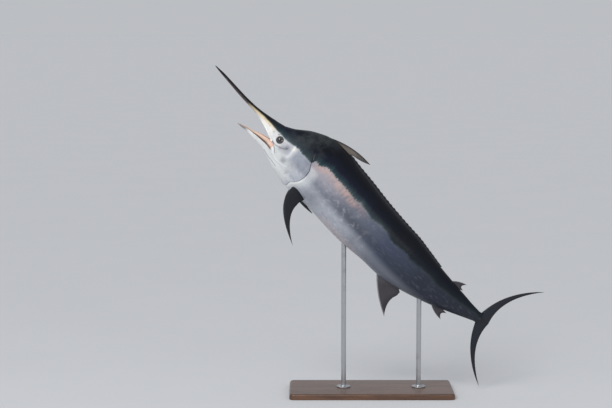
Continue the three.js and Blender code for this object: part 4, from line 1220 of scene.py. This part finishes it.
for side_name, right_side in (("left", -1), ("right", 1)):
    held = RIGHT_PECTORAL_HELD if right_side > 0 else dict.fromkeys(RIGHT_PECTORAL_HELD, 0.0)
    pectoral = {
        "rays": 20, "rows": 96, "thick": 20, "thin": 3.5, "ridge": 1.3, "crowd": 0.85, "flare": 4,
        "heel_round": 0.4, "foot_bow": [-0.005, 26, 10 * right_side],
        "front": [0.268, -232, 60 * right_side], "rear": [0.316, -250, 74 * right_side],
        "tip": [0.387 - held["forward"], -572 - held["down"], 432 * right_side],
        "heel": [0.3135, -296, 126 * right_side],
        "bow": [held["straighter"] - 0.044, -20, 6 * right_side], "hollow": [-0.027, -4, 0],
    }
    pelvic = {
        "rays": 3, "rows": 60, "thick": 9, "thin": 3, "ridge": 0.8, "flare": 2,
        "front": [0.272, -300, 22 * right_side], "rear": [0.28, -296, 27 * right_side],
        "tip": [0.368, -296, 34 * right_side], "heel": [0.34, -293, 40 * right_side],
        "bow": [0, -14, 0], "hollow": [0, 0, 0],
    }
    fin_piece(f"pectoral_fin_{side_name}", *fin_sheets(pectoral), blue_black, f"pectoral_{side_name}")
    fin_piece(f"pelvic_fin_{side_name}", *fin_sheets(pelvic), blue_black, f"pelvic_{side_name}")

# The low rear part of the first back fin lies in its groove as a row of short rays, laid back
# against the skin. It is cast as one strip and glued into the groove.
STRIP_FROM = 0.3025
STRIP_TO = 0.765
STRIP_RAYS = 30
STRIP_RAY_COLUMNS = 10
STRIP_ROWS = 16
STRIP_SINK = 12.0
STRIP_LAID = 26.0
STRIP_THICK = 9.0
STRIP_THIN = 3.0
STRIP_RIDGE = 1.2
STRIP_NOTCH = 0.72
STRIP_BENT_FROM = 0.3
STRIP_END_ROUND = 0.004
STRIP_EDGE_ROUND = 0.15
STRIP_HEIGHT = [[0.3, 13], [0.4, 15], [0.6, 14], [0.765, 7]]
strip_u = np.linspace(0.0, 1.0, STRIP_RAYS * STRIP_RAY_COLUMNS + 1)[:, None]
strip_v = np.linspace(0.0, 1.0, STRIP_ROWS + 1)[None, :]
strip_ray = 0.5 + 0.5 * np.cos(2 * np.pi * STRIP_RAYS * strip_u)
strip_place = mix(STRIP_FROM, STRIP_TO, strip_u)
strip_tall = through(STRIP_HEIGHT)(strip_place) * mix(STRIP_NOTCH, 1.0, strip_ray)
strip_level = body_top(strip_place) + mix(-STRIP_SINK, strip_tall, strip_v)
strip_laid = strip_place + STRIP_LAID / LENGTH_MM * np.maximum(0.0, strip_v - STRIP_BENT_FROM)
strip_half = mix(STRIP_THICK, STRIP_THIN, strip_v) / 2 + STRIP_RIDGE * strip_ray
strip_half = strip_half * pinch(strip_u, STRIP_END_ROUND) * pinch(1 - strip_u, STRIP_END_ROUND)
strip_half = closed_edges(strip_half * pinch(1 - strip_v, STRIP_EDGE_ROUND))
strip_faces = [cut_corners(put(strip_laid, strip_level, strip_half * face)) for face in (1, -1)]
fin_piece("dorsal_rear_fin", strip_faces, strip_u, strip_v, strip_ray, blue_black, "first_dorsal_rear")

# The base is a slab of walnut with a moulded upper edge, turned over a template, oiled and
# varnished in satin.

# inset of the outline and height, in millimetres
BASE_PROFILE = [
    [6.0, 0.0], [2.0, 0.6], [0.4, 3.0], [0.0, 6.0], [0.0, 27.0], [0.5, 28.6], [2.4, 29.4],
    [2.6, 31.0], [2.9, 34.0], [4.0, 38.0], [6.2, 42.0], [9.2, 45.2], [12.6, 47.2], [13.0, 48.2],
    [14.4, 49.2], [16.6, 49.8], [20.0, 50.0],
]
BASE_CORNER = 44.0
CORNER_STEPS = 16


def slab_outline(half_length, half_width, inset):
    """A rectangle with round corners, drawn in by the inset, as points once around."""
    arc = np.radians(np.linspace(0.0, 90.0, CORNER_STEPS + 1))
    quarter = np.concatenate([arc + np.radians(90.0 * k) for k in range(4)])
    corner = BASE_CORNER - inset
    middle_x = (half_length - BASE_CORNER) * np.repeat([1, -1, -1, 1], CORNER_STEPS + 1)
    middle_y = (half_width - BASE_CORNER) * np.repeat([1, 1, -1, -1], CORNER_STEPS + 1)
    ring = np.stack([middle_x + corner * np.cos(quarter), middle_y + corner * np.sin(quarter)], -1)
    return np.vstack([ring, ring[:1]])


base_middle = np.array([(base_low.x + base_high.x) / 2, (base_low.y + base_high.y) / 2])
half_length, half_width = (base_high.x - base_low.x) / 2 / MM, (base_high.y - base_low.y) / 2 / MM
slab_rows = []
for inset, height in BASE_PROFILE:
    ring = slab_outline(half_length, half_width, inset) * MM + base_middle
    slab_rows.append(np.column_stack([ring, np.full(len(ring), height * MM)]))
slab_under = np.column_stack([np.tile(base_middle, (len(ring), 1)), np.zeros(len(ring))])
slab_over = slab_under + [0.0, 0.0, BASE_PROFILE[-1][1] * MM]
slab = joined_mesh("base_slab", [np.stack([slab_under, *slab_rows, slab_over])], sharp=25.0)
walnut = Finish("walnut", Coat_Weight=0.35, Coat_Roughness=0.2, Specular_IOR_Level=0.5)
grain_way = walnut.stretched((0.55, 5.0, 5.0))
figure = walnut.noise(grain_way, 3.2, 6.0, 0.55)
bands = walnut.add("ShaderNodeTexWave", "Fac", {
    "Vector": grain_way, "Scale": 2.2, "Distortion": 7.0, "Detail": 3.0}, bands_direction="Y")
pores = walnut.noise(walnut.stretched((9.0, 190.0, 190.0)), 3.0, 2.0)
wood = walnut.ramp(figure, [
    (0.25, (64, 42, 30)), (0.45, (88, 58, 40)), (0.6, (108, 74, 52)), (0.78, (70, 46, 33))])
wood = walnut.coats(wood, [
    ((52, 33, 24), 0.5, (bands, 0.45, 0.9)), ((38, 24, 18), 0.6, (pores, 0.58, 0.75))])
walnut.give(Base_Color=wood, Roughness=walnut.spread(pores, 0.34, 0.52))
walnut.bump(walnut.maths("SUBTRACT", figure, pores), 0.0004)
slab.data.materials.append(walnut.material)
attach(slab, "root")
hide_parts("stand_base")

# Two rods of brushed steel carry the fish. Each stands in a turned flange that four screws
# hold down on the base, with a small weld between them, and ends inside the body.

# in millimetres; the profiles as radius, height
ROD_RADIUS = 21.0
FLANGE_PROFILE = [
    [0.0, 0.0], [58.8, 0.0], [59.7, 0.4], [60.0, 1.2], [60.0, 9.6], [59.6, 10.9], [58.6, 11.7],
    [57.2, 12.0], [27.5, 12.0], [25.4, 12.5], [23.4, 14.0], [22.1, 16.2], [21.4, 19.0], [21.0, 23.0],
]
SCREW_PROFILE = [
    [0.0, 1.6], [2.2, 1.6], [2.4, 3.4], [4.6, 3.3], [6.0, 2.5], [6.7, 1.2], [6.9, -0.5], [0.0, -0.5],
]
SCREW_CIRCLE = 43.0
SCREW_SEAT = 12.0
ROD_RINGS = 40
ROD_AROUND = 72
SCREW_AROUND = 24


def turned(profile, x, y, z, around):
    """A profile of (radius, height) in millimetres, turned once about an upright line."""
    radius, height = MM * np.array(profile, float).T[..., None]
    turn = np.linspace(0.0, 2 * np.pi, around + 1)
    return np.stack([x + radius * np.cos(turn), y + radius * np.sin(turn), z + height + 0 * turn], -1)


steel = Finish("brushed_steel", Metallic=1.0, Specular_IOR_Level=0.5)
brushing = steel.noise(steel.stretched((40.0, 40.0, 900.0)), 2.0, 3.0)
smudge = steel.noise(steel.room(), 9.0, 3.0)
metal = steel.mixed(paint(172, 174, 178), paint(206, 208, 210), brushing)
metal = steel.coats(metal, [((150, 152, 156), 0.5, (smudge, 0.5, 0.8))])
steel.give(Base_Color=metal, Roughness=steel.spread(brushing, 0.24, 0.4))
steel.bump(brushing, 0.0002)
for rod_name in ("front", "rear"):
    low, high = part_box(f"stand_rod_{rod_name}")
    rod_x, rod_y = (low.x + high.x) / 2, (low.y + high.y) / 2
    tall = (high.z - low.z) / MM
    shaft = np.linspace(FLANGE_PROFILE[-1][1], tall, ROD_RINGS)[1:]
    profile = FLANGE_PROFILE + [[ROD_RADIUS, height] for height in shaft] + [[0.0, tall]]
    shells = [turned(profile, rod_x, rod_y, low.z, ROD_AROUND)]
    for way in np.radians([45.0, 135.0, 225.0, 315.0]):
        screw_x = rod_x + MM * SCREW_CIRCLE * np.cos(way)
        screw_y = rod_y + MM * SCREW_CIRCLE * np.sin(way)
        shells.append(turned(SCREW_PROFILE, screw_x, screw_y, low.z + MM * SCREW_SEAT, SCREW_AROUND))
    rod = joined_mesh(f"rod_{rod_name}", shells, sharp=35.0)
    rod.data.materials.append(steel.material)
    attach(rod, "root")
    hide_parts(f"stand_rod_{rod_name}")

# The studio: a very large plain pale floor, a pale world and soft lights. The camera stands far
# off and a little above the fish, with a long lens.
FLOOR_REACH = 400.0
WORLD_COLOUR = (232, 235, 240)
WORLD_STRENGTH = 0.62
CAMERA_SPOT = (-0.655, -15.25, 3.21)
CAMERA_TILT = 84.16
CAMERA_LENS = 104.7
SENSOR_WIDTH = 36.0
CLIP_END = 2000.0

floor_mesh = bpy.data.meshes.new("floor")
corners = [(FLOOR_REACH * x, FLOOR_REACH * y, 0) for x, y in ((-1, -1), (1, -1), (1, 1), (-1, 1))]
floor_mesh.from_pydata(corners, [], [(0, 1, 2, 3)])
floor = placed("floor", floor_mesh)
matt = Finish("floor_paint", Roughness=0.9, Specular_IOR_Level=0.1)
matt.give(Base_Color=matt.mixed(paint(207, 208, 210), paint(211, 212, 214), matt.noise(matt.room(), 0.7)))
floor_mesh.materials.append(matt.material)

world = bpy.data.worlds.new("studio")
world.use_nodes = True
world.node_tree.nodes["Background"].inputs["Color"].default_value = paint(*WORLD_COLOUR)
world.node_tree.nodes["Background"].inputs["Strength"].default_value = WORLD_STRENGTH
bpy.context.scene.world = world


def soft_light(name, kind, spot, target, watts, **settings):
    """A lamp at a spot, turned to a target."""
    bulb = bpy.data.lights.new(name, kind)
    bulb.energy = watts
    for setting, value in settings.items():
        setattr(bulb, setting, value)
    lamp = placed(name, bulb)
    lamp.location = spot
    lamp.rotation_euler = (Vector(target) - Vector(spot)).to_track_quat("-Z", "Y").to_euler()


soft_light("daylight", "SUN", (-3.0, -5.0, 8.0), (0.0, 0.0, 1.4), 1.2, angle=0.6)
soft_light("key", "AREA", (-4.0, -6.5, 5.5), (-0.2, 0.0, 1.6), 110.0, shape="SQUARE", size=2.2)
soft_light("fill", "AREA", (4.5, -7.5, 3.4), (0.2, 0.0, 1.2), 62.0, shape="SQUARE", size=3.0)

camera_data = bpy.data.cameras.new("camera")
camera_data.lens = CAMERA_LENS
camera_data.sensor_width = SENSOR_WIDTH
camera_data.clip_end = CLIP_END
camera = placed("camera", camera_data)
camera.location = CAMERA_SPOT
camera.rotation_euler = (np.radians(CAMERA_TILT), 0.0, 0.0)
bpy.context.scene.camera = camera
bpy.context.scene.view_settings.view_transform = "Standard"
